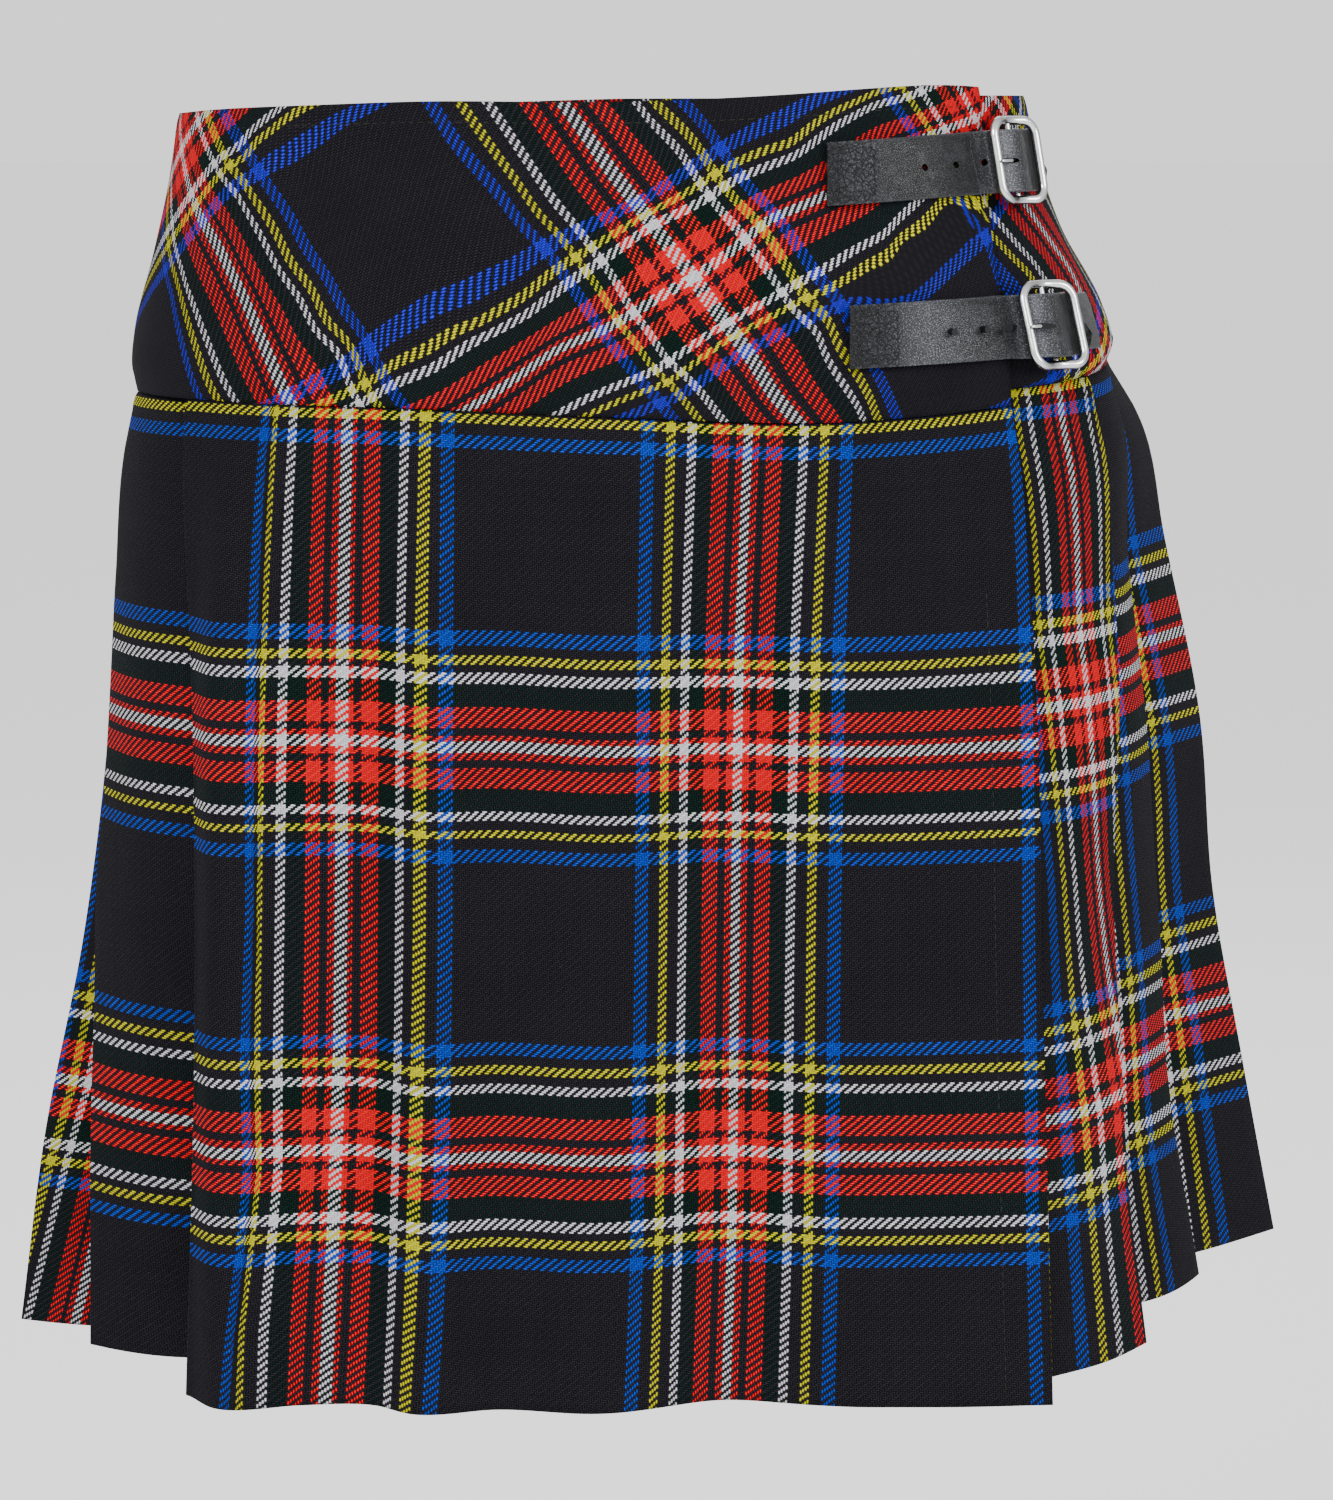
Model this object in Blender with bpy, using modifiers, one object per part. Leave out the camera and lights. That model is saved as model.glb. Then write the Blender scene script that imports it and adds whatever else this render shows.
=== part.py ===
# Pleated wrap skirt with a hip yoke, a flat front apron, knife pleats and two strap-and-buckle fastenings.
# Sizes are in millimetres, and MM turns them into Blender's metres when a mesh is made.
# X runs to the viewer's right, Y to the back and Z up; the origin is the middle of the waist.
# A place on the body is (level, s, out): level 0 is the waist edge, 1 the yoke seam and 2 the hem,
# s is the length round the body from the middle of the front, positive to the viewer's right,
# and out is the distance off the body's outer face.

import math
from collections import namedtuple

import bpy
import numpy as np

MM = 0.001

# Thicknesses and clearances
CLOTH = 1.2
LAYER = 1.8
SEAM = 0.3
LEATHER = 1.6
TAB_LEATHER = 1.2
ON_CLOTH = 0.3

# Half-widths and half-depths of the worn form, by level; square 2 is an ellipse and more is boxier
SECTION_COLUMNS = ("level", "left", "right", "front", "back", "square")
SECTIONS = np.array([
    (0.00, 148.4, 138.2, 100, 100, 2.8),
    (0.25, 152.0, 143.3, 105, 106, 2.8),
    (0.50, 157.1, 151.4, 110, 111, 2.9),
    (0.78, 163.7, 165.5, 115, 116, 3.0),
    (0.90, 164.8, 169.0, 117, 118, 3.0),
    (1.00, 164.0, 168.5, 118, 119, 3.0),
    (1.07, 168.6, 180.0, 122, 124, 3.0),
    (1.20, 171.8, 188.0, 130, 132, 3.0),
    (1.40, 175.7, 201.0, 138, 141, 3.0),
    (1.60, 184.6, 207.5, 146, 150, 3.0),
    (1.80, 198.8, 220.2, 153, 159, 3.0),
    (2.00, 208.9, 233.6, 160, 168, 3.0),
])
BACK_SQUARE = 2.2
RING_STEPS = 720
LEVEL_STEPS = 100

# Heights of the edges, as drops below the origin; turn is the share of the way from front to back.
# The front pieces follow the body's own, and the pieces under and behind them have their own.
EDGE_COLUMNS = ("turn", "waist", "seam", "hem")
LEFT_EDGES = [
    (-1.00, 0.0, 92.0, 406.0),
    (-0.52, 5.0, 98.0, 411.0),
    (-0.40, 4.5, 96.5, 412.0),
    (-0.31, 3.0, 96.2, 412.0),
    (-0.25, 2.2, 96.5, 412.0),
]
BODY_EDGES = np.array(LEFT_EDGES + [
    (-0.15, 0.9, 97.0, 412.0),
    (0.00, 1.0, 99.8, 412.0),
    (0.15, -1.5, 101.7, 412.0),
    (0.20, -2.9, 100.5, 412.0),
    (0.27, -4.3, 97.9, 412.0),
    (0.38, -2.6, 91.5, 407.0),
    (0.52, -0.9, 85.9, 402.0),
    (0.75, -0.3, 89.0, 403.5),
    (1.00, 0.0, 92.0, 406.0),
])
UNDER_EDGES = np.array(LEFT_EDGES + [
    (-0.10, 2.0, 96.0, 409.0),
    (0.15, 0.0, 94.5, 406.0),
    (0.28, -1.0, 92.4, 404.0),
    (0.36, -1.0, 90.1, 402.5),
    (0.52, -0.9, 85.9, 402.0),
    (0.75, -0.3, 89.0, 403.5),
    (1.00, 0.0, 92.0, 406.0),
])

# The wrap's free edge at the viewer's right and its fold at the viewer's left, by level
APRON_COLUMNS = ("level", "free_edge", "left_fold")
APRON = np.array([
    (0.00, 126.5, -146.0),
    (0.50, 127.5, -146.0),
    (1.00, 131.5, -146.0),
    (1.35, 134.0, -135.0),
    (1.65, 136.0, -132.5),
    (2.00, 139.0, -136.5),
])

# How far the apron stands off the body at the hem, as it hangs nearly flat between its two edges
# Columns: s and out
STAND = np.array([
    (-146.0, 3.0),
    (-137.0, 5.0),
    (-124.0, 14.0),
    (-100.0, 5.0),
    (-76.0, 1.0),
    (-59.0, 8.0),
    (-38.0, 2.5),
    (0.0, 5.5),
    (35.0, -5.5),
    (66.0, -1.0),
    (100.0, 4.0),
    (139.0, 10.0),
])
STAND_BY = 0.4

# Fold edges of the pleats that the front shows, going back from the apron: the step behind each at the hem,
# then its line as level, s and how far it stands off the body
RIGHT_FOLDS = [
    (38.0, np.array([
        (1.00, 172.0, 0.5), (1.15, 174.2, -1.5), (1.30, 175.3, -2.5), (1.50, 176.0, -8.5),
        (1.70, 180.0, -10.5), (1.85, 183.0, -13.0), (2.00, 186.0, -10.5),
    ])),
    (34.0, np.array([
        (1.00, 205.0, -0.5), (1.14, 214.5, -9.5), (1.30, 226.0, -14.5), (1.45, 238.5, -18.0),
        (1.62, 252.0, -19.5), (1.78, 263.5, -26.0), (2.00, 279.0, -28.5),
    ])),
    (28.0, np.array([
        (1.00, 249.0, 0.0), (1.15, 260.0, 1.5), (1.50, 292.5, 3.0), (2.00, 339.0, 2.5),
    ])),
]
LEFT_FOLDS = [
    (42.0, np.array([
        (1.00, 196.0, 0.0), (1.20, 204.0, 0.0), (1.40, 206.0, 1.0), (1.53, 207.0, 0.5),
        (1.66, 206.0, -4.0), (1.78, 205.5, -8.5), (1.90, 204.5, -11.8), (2.00, 204.0, -14.0),
    ])),
    (30.0, np.array([
        (1.00, 226.0, 0.0), (1.50, 233.0, 0.6), (2.00, 243.0, 0.6),
    ])),
]
# The even pleats after those, up to the middle of the back
BACK_PLEATS = 5
BACK_STEP = 27.0
APRON_STEP = 42.0
UNDERLAY = 32.0
LAYER_AT_HEM = 3.0
FACE_STEPS = 3
RETURN = 9.0
SKIRT_LEVELS = (1.0, 1.07, 1.2, 1.35, 1.5, 1.65, 1.82, 2.0)
YOKE_LEVELS = (0.0, 0.25, 0.5, 0.78, 0.9, 1.0)

# How far the hidden ends of the wrap reach under the front, and how far behind the front cloth they lie
UNDER_REACH = -100.0
UNDER_JOIN = 84.0
UNDER_OUT = -2.6
SKIRT_UNDER = -4.4
# The back yoke comes up level with the front one between these two distances past the free edge
RISE_FROM = 4.0
RISE_TO = 26.0

# Straps and buckles: the strap's left end on the yoke, then the middle of the buckle, its turn and its lean
Fastening = namedtuple("Fastening", "name strap_s strap_drop x y drop turn lean")
FASTENINGS = (
    Fastening("upper", 68.0, 23.5, 131.3, -74.2, 19.5, 47.0, 0.22),
    Fastening("lower", 75.0, 74.5, 141.6, -93.8, 71.6, 36.5, 0.34),
)
STRAP_WIDTH = 20.0
STRAP_TIP = 6.0
STRAP_END = 0.35
STRAP_LIFT = 5.0
FIRST_HOLE = 33.0
HOLE_PITCH = 11.7
HOLE_RADIUS = 1.5
HOLES = 4
HOLE_DEPTH = 8.0
PRONG_THROUGH = -3.6
PRONG_SLOT = 4.4
SLOT_AT = -1.35
SLOT = (5.4, 4.0, 2.6)
BUCKLE_WIDTH = 21.5
BUCKLE_HEIGHT = 25.4
BUCKLE_CORNER = 5.0
BUCKLE_WIRE = 1.5
BAR_WIRE = 1.0
BAR_BACK = -2.7
BAR_CLEAR = 0.5
PRONG_WIRE = 0.75
TAB_WIDTH = 18.0
TAB_LENGTH = 16.0
TAB_OFF = 0.6
TAB_LANDS = -8.0
TAB_START = 4.0
# The tab's short end before it goes round the bar, and its way back after it: u, and w from the bar
TAB_END = ((7.0, -1.0), (5.0, 0.0), (2.8, 1.2))
TAB_BACK = ((3.0, -2.7), (7.0, -4.2))
# Turns of the body at which the strap and the tab lie, for their levels
STRAP_TURN = 0.25
TAB_TURN = 0.4
# By this share of its length the strap has come level with the buckle
STRAP_LEVEL_BY = 0.75
STRAP_STATIONS = 56
TAB_STATIONS = 44


def smooth(at, xs, ys):
    slopes = np.gradient(ys, xs)
    at = np.clip(at, xs[0], xs[-1])
    cell = np.clip(np.searchsorted(xs, at) - 1, 0, len(xs) - 2)
    width = xs[cell + 1] - xs[cell]
    t = (at - xs[cell]) / width
    start = ys[cell] * (1 + 2 * t) * (1 - t) ** 2 + slopes[cell] * width * t * (1 - t) ** 2
    end = ys[cell + 1] * t * t * (3 - 2 * t) + slopes[cell + 1] * width * t * t * (t - 1)
    return start + end


def column(table, names, name, at):
    return smooth(at, table[:, 0], table[:, names.index(name)])


# The body's outline at a level: length round it, X and Y, from back to back through the front
def ring(level):
    left, right, front, back, square = (
        float(column(SECTIONS, SECTION_COLUMNS, name, level)) for name in SECTION_COLUMNS[1:]
    )
    angle = np.linspace(-math.pi, math.pi, RING_STEPS + 1)
    across = np.sin(angle)
    ahead = np.cos(angle)
    power = 2 / np.where(ahead > 0, square, BACK_SQUARE)
    x = np.where(across > 0, right, left) * np.sign(across) * np.abs(across) ** power
    y = -np.where(ahead > 0, front, back) * np.sign(ahead) * np.abs(ahead) ** power
    s = np.concatenate([[0.0], np.cumsum(np.hypot(np.diff(x), np.diff(y)))])
    return s - s[RING_STEPS // 2], x, y


# The whole body as a grid over level and turn: X, Y and the two parts of the way out
def body_grid():
    turns = np.linspace(-1, 1, RING_STEPS + 1)
    rows = []
    for level in np.linspace(0, 2, LEVEL_STEPS + 1):
        s, x, y = ring(level)
        at = turns * np.where(turns > 0, s[-1], -s[0])
        x, y = np.interp(at, s, x), np.interp(at, s, y)
        ahead_x, ahead_y = np.gradient(x), np.gradient(y)
        size = np.hypot(ahead_x, ahead_y)
        rows.append(np.stack([x, y, ahead_y / size, -ahead_x / size], -1))
    return np.array(rows)


BODY = body_grid()


def half_round(level, side):
    s = ring(level)[0]
    return float(s[-1]) if side > 0 else float(-s[0])


# Drop of a piece's own level, and the body's level that lies at a drop
def drop_at(edges, level, turn):
    waist, seam, hem = (column(edges, EDGE_COLUMNS, name, turn) for name in EDGE_COLUMNS[1:])
    if level <= 1:
        return waist + (seam - waist) * level
    return seam + (hem - seam) * (level - 1)


def body_level(drop, turn):
    waist, seam, hem = (column(BODY_EDGES, EDGE_COLUMNS, name, turn) for name in EDGE_COLUMNS[1:])
    return np.where(drop < seam, (drop - waist) / (seam - waist), 1 + (drop - seam) / (hem - seam))


# Points at one level of a piece, for lengths s round the body and distances out from it
def place(level, s, out, edges):
    s = np.asarray(s, float)
    turn = s / np.where(s > 0, half_round(level, 1), half_round(level, -1))
    drop = drop_at(edges, level, turn)
    row = np.clip(body_level(drop, turn), 0, 2) * LEVEL_STEPS / 2
    col = np.clip((turn + 1) / 2, 0, 1) * RING_STEPS
    low = np.minimum(row.astype(int), LEVEL_STEPS - 1)
    near = np.minimum(col.astype(int), RING_STEPS - 1)
    down = (row - low)[:, None]
    on = (col - near)[:, None]
    upper = BODY[low, near] * (1 - on) + BODY[low, near + 1] * on
    lower = BODY[low + 1, near] * (1 - on) + BODY[low + 1, near + 1] * on
    x, y, out_x, out_y = (upper * (1 - down) + lower * down).T
    return np.stack([x + out * out_x, y + out * out_y, -drop], -1)


# 0 at the seam and 1 from STAND_BY of the way down to the hem
def spread(level):
    share = np.clip((level - 1) / STAND_BY, 0, 1)
    return 1 - (1 - share) ** 2


# How far the apron, or what hangs close under it, stands off the body
def apron_out(level, s, edges):
    turn = s / np.where(s > 0, half_round(level, 1), half_round(level, -1))
    return spread(body_level(drop_at(edges, level, turn), turn)) * smooth(s, STAND[:, 0], STAND[:, 1])


# From the middle of one layer of folded cloth to the middle of the next
def layer_at(level):
    return LAYER + (LAYER_AT_HEM - LAYER) * (level - 1)


# How far off the body the cloth that wraps under the apron hangs
def under_out(level, s):
    return apron_out(level, s, UNDER_EDGES) + SKIRT_UNDER + LAYER - layer_at(level)


# Half a circle from (s, out) to 2 radius further in, bulging the given way
def fold_turn(s, out, radius, way, steps):
    angles = np.linspace(0, math.pi, steps)
    return [(s + way * radius * math.sin(a), out - radius * (1 - math.cos(a))) for a in angles]


# A step grows from the seam, where the folds lie flat, to the hem
def step_at(level, step):
    return 2 * LAYER + (step - 2 * LAYER) * (level - 1)


# Fold edges of one side: s, how far it stands off the body, and the step behind it
def fold_rows(side, level):
    rows = []
    for step, line in RIGHT_FOLDS if side > 0 else LEFT_FOLDS:
        s, out = (float(smooth(level, line[:, 0], line[:, n])) for n in (1, 2))
        rows.append((s, out, step_at(level, step)))
    last_s, last_out, _ = rows[-1]
    end = half_round(level, side) - LAYER
    for number in range(1, BACK_PLEATS + 1):
        part = number / BACK_PLEATS
        rows.append((last_s + (end - last_s) * part, last_out * (1 - part), step_at(level, BACK_STEP)))
    middle = half_round(level, side) - layer_at(level) / 2 - CLOTH / 2 - SEAM
    rows[-1] = (middle, *rows[-1][1:])
    return rows


# The apron's left fold in the same terms
def apron_fold(level):
    fold = float(column(APRON, APRON_COLUMNS, "left_fold", level))
    return -fold, float(apron_out(level, fold, BODY_EDGES)), step_at(level, APRON_STEP)


# The cloth's way back under the apron from its left fold, a given length along
def left_return(level, along):
    s, out, step = apron_fold(level)
    slope = 0.5 * (step - 2 * LAYER) / UNDERLAY
    return (s - along, out - CLOTH / 2 - layer_at(level) - slope * along)


# The middle of the pleated cloth at one level, from under the apron to the middle of the back
def pleat_path(side, level):
    layer = layer_at(level)
    skin = -CLOTH / 2
    rows = fold_rows(side, level)
    path = []
    if side > 0:
        free = float(column(APRON, APRON_COLUMNS, "free_edge", level))
        for s in np.linspace(UNDER_JOIN + SEAM, free, 5):
            path.append((s, float(under_out(level, s))))
        before = path[-1]
    else:
        first_s, first_out, first_step = apron_fold(level)
        path.append(left_return(level, RETURN + SEAM))
        inner = left_return(level, UNDERLAY)
        path += fold_turn(inner[0], inner[1], layer / 2, -1, 3)
        before = (first_s, first_out + skin - first_step)
        path.append(before)
    for number, (s, out, step) in enumerate(rows):
        out = out + skin
        pitch = s - before[0]
        for part in np.linspace(0, 1, FACE_STEPS + 1)[1:-1]:
            path.append((before[0] + pitch * part, before[1] + (out - before[1]) * part))
        path += fold_turn(s, out, layer / 2, 1, 5)
        face_there = out + (before[1] - out) * UNDERLAY / pitch
        path += fold_turn(s - UNDERLAY, face_there - layer, layer / 2, -1, 3)
        before = (s, out - step)
        if number == len(rows) - 1:
            before = (half_round(level, side) - SEAM, out - step)
        path.append(before)
    return np.array(path)


def add_material(name, colour, roughness, metallic):
    material = bpy.data.materials.new(name)
    material.use_nodes = True
    shader = material.node_tree.nodes["Principled BSDF"]
    shader.inputs["Base Color"].default_value = (*colour, 1)
    shader.inputs["Roughness"].default_value = roughness
    shader.inputs["Metallic"].default_value = metallic
    return material


# A wall from a grid of points on its middle
def wall(collection, name, rows, thickness, material):
    grid = np.array(rows) * MM
    count, width = grid.shape[:2]
    faces = []
    for row in range(count - 1):
        for col in range(width - 1):
            corner = row * width + col
            faces.append((corner, corner + 1, corner + width + 1, corner + width))
    mesh = bpy.data.meshes.new(name)
    mesh.from_pydata(grid.reshape(-1, 3).tolist(), [], faces)
    mesh.shade_smooth()
    mesh.materials.append(material)
    piece = bpy.data.objects.new(name, mesh)
    collection.objects.link(piece)
    solidify = piece.modifiers.new("Thickness", "SOLIDIFY")
    solidify.thickness = thickness * MM
    solidify.offset = 0
    return piece


def front_yoke(collection, cloth):
    rows = []
    for level in YOKE_LEVELS:
        free = column(APRON, APRON_COLUMNS, "free_edge", level)
        side = -half_round(level, -1) / 2
        s = np.linspace(side + SEAM / 2, free, 29)
        rows.append(place(level, s, -CLOTH / 2, BODY_EDGES))
    rows[-1][:, 2] += SEAM
    wall(collection, "front_yoke", rows, CLOTH, cloth)


# The yoke's other piece: round the back and the right side, then under the front yoke
def back_yoke(collection, cloth):
    rows = []
    for level in YOKE_LEVELS:
        free = float(column(APRON, APRON_COLUMNS, "free_edge", level))
        right = half_round(level, 1)
        left = half_round(level, -1)
        s = np.concatenate([
            np.linspace(UNDER_REACH, free - RISE_FROM, 14),
            np.linspace(free + RISE_FROM, free + RISE_TO, 5),
            np.linspace(free + RISE_TO, right, 21)[1:],
        ])
        out = np.interp(s, [free + RISE_FROM, free + RISE_TO], [UNDER_OUT, -CLOTH / 2])
        half = place(level, s, out, UNDER_EDGES)
        s = np.linspace(-left, -left / 2 - SEAM / 2, 15)[1:]
        rows.append(np.concatenate([half, place(level, s, -CLOTH / 2, UNDER_EDGES)]))
    rows[-1][:, 2] += SEAM
    wall(collection, "back_yoke", rows, CLOTH, cloth)


def front_apron(collection, cloth):
    rows = []
    for level in SKIRT_LEVELS:
        free, fold = (float(column(APRON, APRON_COLUMNS, n, level)) for n in APRON_COLUMNS[1:])
        s = np.linspace(fold, free, 27)
        out = apron_out(level, s, BODY_EDGES) - CLOTH / 2
        turn = fold_turn(fold, out[0], layer_at(level) / 2, -1, 5)
        back, deep = left_return(level, RETURN)
        edge = [(-back, deep)] + turn[:0:-1]
        s = np.concatenate([[p[0] for p in edge], s])
        out = np.concatenate([[p[1] for p in edge], out])
        rows.append(place(level, s, out, BODY_EDGES))
    rows[0][:, 2] -= SEAM
    wall(collection, "front_apron", rows, CLOTH, cloth)


def under_apron(collection, cloth):
    rows = []
    for level in SKIRT_LEVELS:
        s = np.linspace(UNDER_REACH, UNDER_JOIN, 17)
        rows.append(place(level, s, under_out(level, s), UNDER_EDGES))
    rows[0][:, 2] -= SEAM
    wall(collection, "under_apron", rows, CLOTH, cloth)


def pleats(collection, name, side, cloth):
    rows = []
    for level in SKIRT_LEVELS:
        path = pleat_path(side, level)
        rows.append(place(level, side * path[:, 0], path[:, 1], UNDER_EDGES))
    rows[0][:, 2] -= SEAM
    wall(collection, name, rows, CLOTH, cloth)


# A smooth line through points, with the given number of points along it
def curve_through(points, count):
    points = np.array(points, float)
    along = np.concatenate([[0], np.cumsum(np.hypot(*np.diff(points, axis=0).T))])
    at = np.linspace(0, along[-1], count)
    return np.stack([smooth(at, along, points[:, axis]) for axis in (0, 1)], -1)


# From the buckle's own axes (u along the strap, v up it, w off the body) to X, Y and Z
def from_buckle(fastening, u, v, w):
    turn = math.radians(fastening.turn)
    off = w - fastening.lean * v
    x = fastening.x + u * math.cos(turn) + off * math.sin(turn)
    y = fastening.y + u * math.sin(turn) - off * math.cos(turn)
    return (x, y, v - fastening.drop)


# The level whose edge lies at a drop, on the yoke
def level_of(drop, edges, turn):
    waist, seam = (float(column(edges, EDGE_COLUMNS, name, turn)) for name in ("waist", "seam"))
    return (drop - waist) / (seam - waist)


# The length round the body that lies nearest a point
def nearest_s(level, point):
    arc, x, y = ring(level)
    return float(arc[np.argmin(np.hypot(x - point[0], y - point[1]))])


# Moves points of a line in plan outwards where they lie nearer the body than they may
def keep_off(line, level, least):
    arc, x, y = ring(level)
    ahead_x, ahead_y = np.gradient(x), np.gradient(y)
    size = np.hypot(ahead_x, ahead_y)
    moved = []
    for point, gap in zip(line, np.broadcast_to(least, len(line))):
        near = int(np.argmin(np.hypot(x - point[0], y - point[1])))
        out_x, out_y = ahead_y[near] / size[near], -ahead_x[near] / size[near]
        off = (point[0] - x[near]) * out_x + (point[1] - y[near]) * out_y
        lift = max(0.0, gap - off)
        moved.append((point[0] + lift * out_x, point[1] + lift * out_y))
    return np.array(moved)


# The strap's middle line at a height v across it: on the yoke, then under, over and under the three bars
def strap_line(fastening, v):
    level = level_of(fastening.strap_drop - v, BODY_EDGES, STRAP_TURN)
    half = BUCKLE_WIDTH / 2
    end = nearest_s(level, from_buckle(fastening, -half, v, 0)) - STRAP_LIFT
    s = np.linspace(fastening.strap_s, end, 9)
    points = [tuple(p[:2]) for p in place(level, s, ON_CLOTH + LEATHER / 2, BODY_EDGES)]
    under = -BUCKLE_WIRE - BAR_CLEAR - LEATHER / 2
    over = BAR_BACK + BAR_WIRE + 2 * ON_CLOTH + TAB_LEATHER + LEATHER / 2
    middle = (under + over) / 2
    profile = ((-half - 1, under), (-half + 1.4, under), (-half / 2, middle), (0, over),
               (half / 2, middle), (half - 1.4, under), (half + 1, under),
               (half + STRAP_TIP, under - 1.5))
    for u, w in profile:
        points.append(from_buckle(fastening, u, v, w)[:2])
    line = curve_through(points, STRAP_STATIONS)
    turn = math.radians(fastening.turn)
    past = (line[:, 0] - fastening.x) * math.cos(turn) + (line[:, 1] - fastening.y) * math.sin(turn)
    on_yoke = ON_CLOTH + LEATHER / 2
    on_tab = TAB_OFF + 2 * TAB_LEATHER + ON_CLOTH + on_yoke
    return keep_off(line, level, np.interp(past, [0, half / 2], [on_yoke, on_tab]))


def strap(collection, fastening, leather):
    middle = strap_line(fastening, 0.0)
    along = np.concatenate([[0], np.cumsum(np.hypot(*np.diff(middle, axis=0).T))])
    drop = np.interp(along, [0, along[-1] * STRAP_LEVEL_BY], [fastening.strap_drop, fastening.drop])
    left = np.clip((along[-1] - along) / STRAP_TIP, 0, 1)
    narrow = STRAP_END + (1 - STRAP_END) * np.sqrt(1 - (1 - left) ** 2)
    rows = []
    for v in np.linspace(-STRAP_WIDTH / 2, STRAP_WIDTH / 2, 5):
        line = strap_line(fastening, v)
        rows.append(np.stack([line[:, 0], line[:, 1], v * narrow - drop], -1))
    piece = wall(collection, "strap_" + fastening.name, rows, LEATHER, leather)
    last_hole = HOLES - 1
    for number in range(HOLES):
        at = FIRST_HOLE + number * HOLE_PITCH
        index = int(np.searchsorted(along, at))
        ahead = middle[index + 1] - middle[index - 1]
        centre = (middle[index][0], middle[index][1], -float(np.interp(at, along, drop)))
        if number == last_hole:
            centre = from_buckle(fastening, PRONG_THROUGH, 0.0, 0.0)
        stretch = PRONG_SLOT / HOLE_RADIUS if number == last_hole else 1
        punch(piece, "hole_%s_%d" % (fastening.name, number), centre, math.atan2(ahead[1], ahead[0]), stretch)


# Cuts a round or oval hole through a strap
def punch(piece, name, centre, turn, stretch):
    bpy.ops.mesh.primitive_cylinder_add(vertices=12, radius=HOLE_RADIUS * MM, depth=HOLE_DEPTH * MM)
    cutter = bpy.context.object
    cutter.name = name
    cutter.rotation_euler = (math.pi / 2, 0, turn)
    cutter.scale = (stretch, 1, 1)
    cutter.location = [value * MM for value in centre]
    as_cutter(cutter)
    cut = piece.modifiers.new(name, "BOOLEAN")
    cut.operation = "DIFFERENCE"
    cut.object = cutter


def as_cutter(piece):
    move_to(piece, "cutters")
    piece.hide_render = True
    piece.display_type = "WIRE"


def move_to(piece, name):
    for collection in list(piece.users_collection):
        collection.objects.unlink(piece)
    bpy.data.collections[name].objects.link(piece)


# The tab's middle line at a height v: its short end, round the middle bar, then onto the hip
def tab_line(fastening, v):
    level = level_of(fastening.drop - v, UNDER_EDGES, TAB_TURN)
    loop = BAR_WIRE + ON_CLOTH + TAB_LEATHER / 2
    points = [(u, BAR_BACK + w) for u, w in TAB_END]
    for angle in np.linspace(60, 300, 9):
        points.append((loop * math.cos(math.radians(angle)), BAR_BACK + loop * math.sin(math.radians(angle))))
    points += [(u, BAR_BACK + w) for u, w in TAB_BACK]
    points = [from_buckle(fastening, u, v, w)[:2] for u, w in points]
    start = nearest_s(level, from_buckle(fastening, BUCKLE_WIDTH / 2, v, TAB_LANDS)) + TAB_START
    s = np.linspace(start, start + TAB_LENGTH, 5)
    points += [tuple(p[:2]) for p in place(level, s, TAB_OFF + TAB_LEATHER / 2, UNDER_EDGES)]
    return keep_off(curve_through(points, TAB_STATIONS), level, TAB_OFF + TAB_LEATHER / 2)


def tab(collection, fastening, leather):
    rows = []
    for v in np.linspace(-TAB_WIDTH / 2, TAB_WIDTH / 2, 3):
        line = tab_line(fastening, v)
        rows.append(np.stack([line[:, 0], line[:, 1], np.full(len(line), v - fastening.drop)], -1))
    piece = wall(collection, "tab_" + fastening.name, rows, TAB_LEATHER, leather)
    bpy.ops.mesh.primitive_cube_add(size=1)
    slot = bpy.context.object
    slot.name = "slot_" + fastening.name
    slot.rotation_euler = (0, 0, math.radians(fastening.turn))
    slot.scale = [value * MM for value in SLOT]
    centre = from_buckle(fastening, SLOT_AT, 0.0, BAR_BACK + SLOT[1] / 2 + ON_CLOTH)
    slot.location = [value * MM for value in centre]
    as_cutter(slot)
    cut = piece.modifiers.new("Slot", "BOOLEAN")
    cut.operation = "DIFFERENCE"
    cut.object = slot


# A round wire through points, as a mesh
def wire(name, points, radius, cyclic):
    data = bpy.data.curves.new(name, "CURVE")
    data.dimensions = "3D"
    data.bevel_depth = radius * MM
    data.bevel_resolution = 2
    data.use_fill_caps = True
    spline = data.splines.new("POLY")
    spline.points.add(len(points) - 1)
    for point, place_at in zip(spline.points, points):
        point.co = (*[v * MM for v in place_at], 1)
    spline.use_cyclic_u = cyclic
    return bpy.data.objects.new(name, data)


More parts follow.
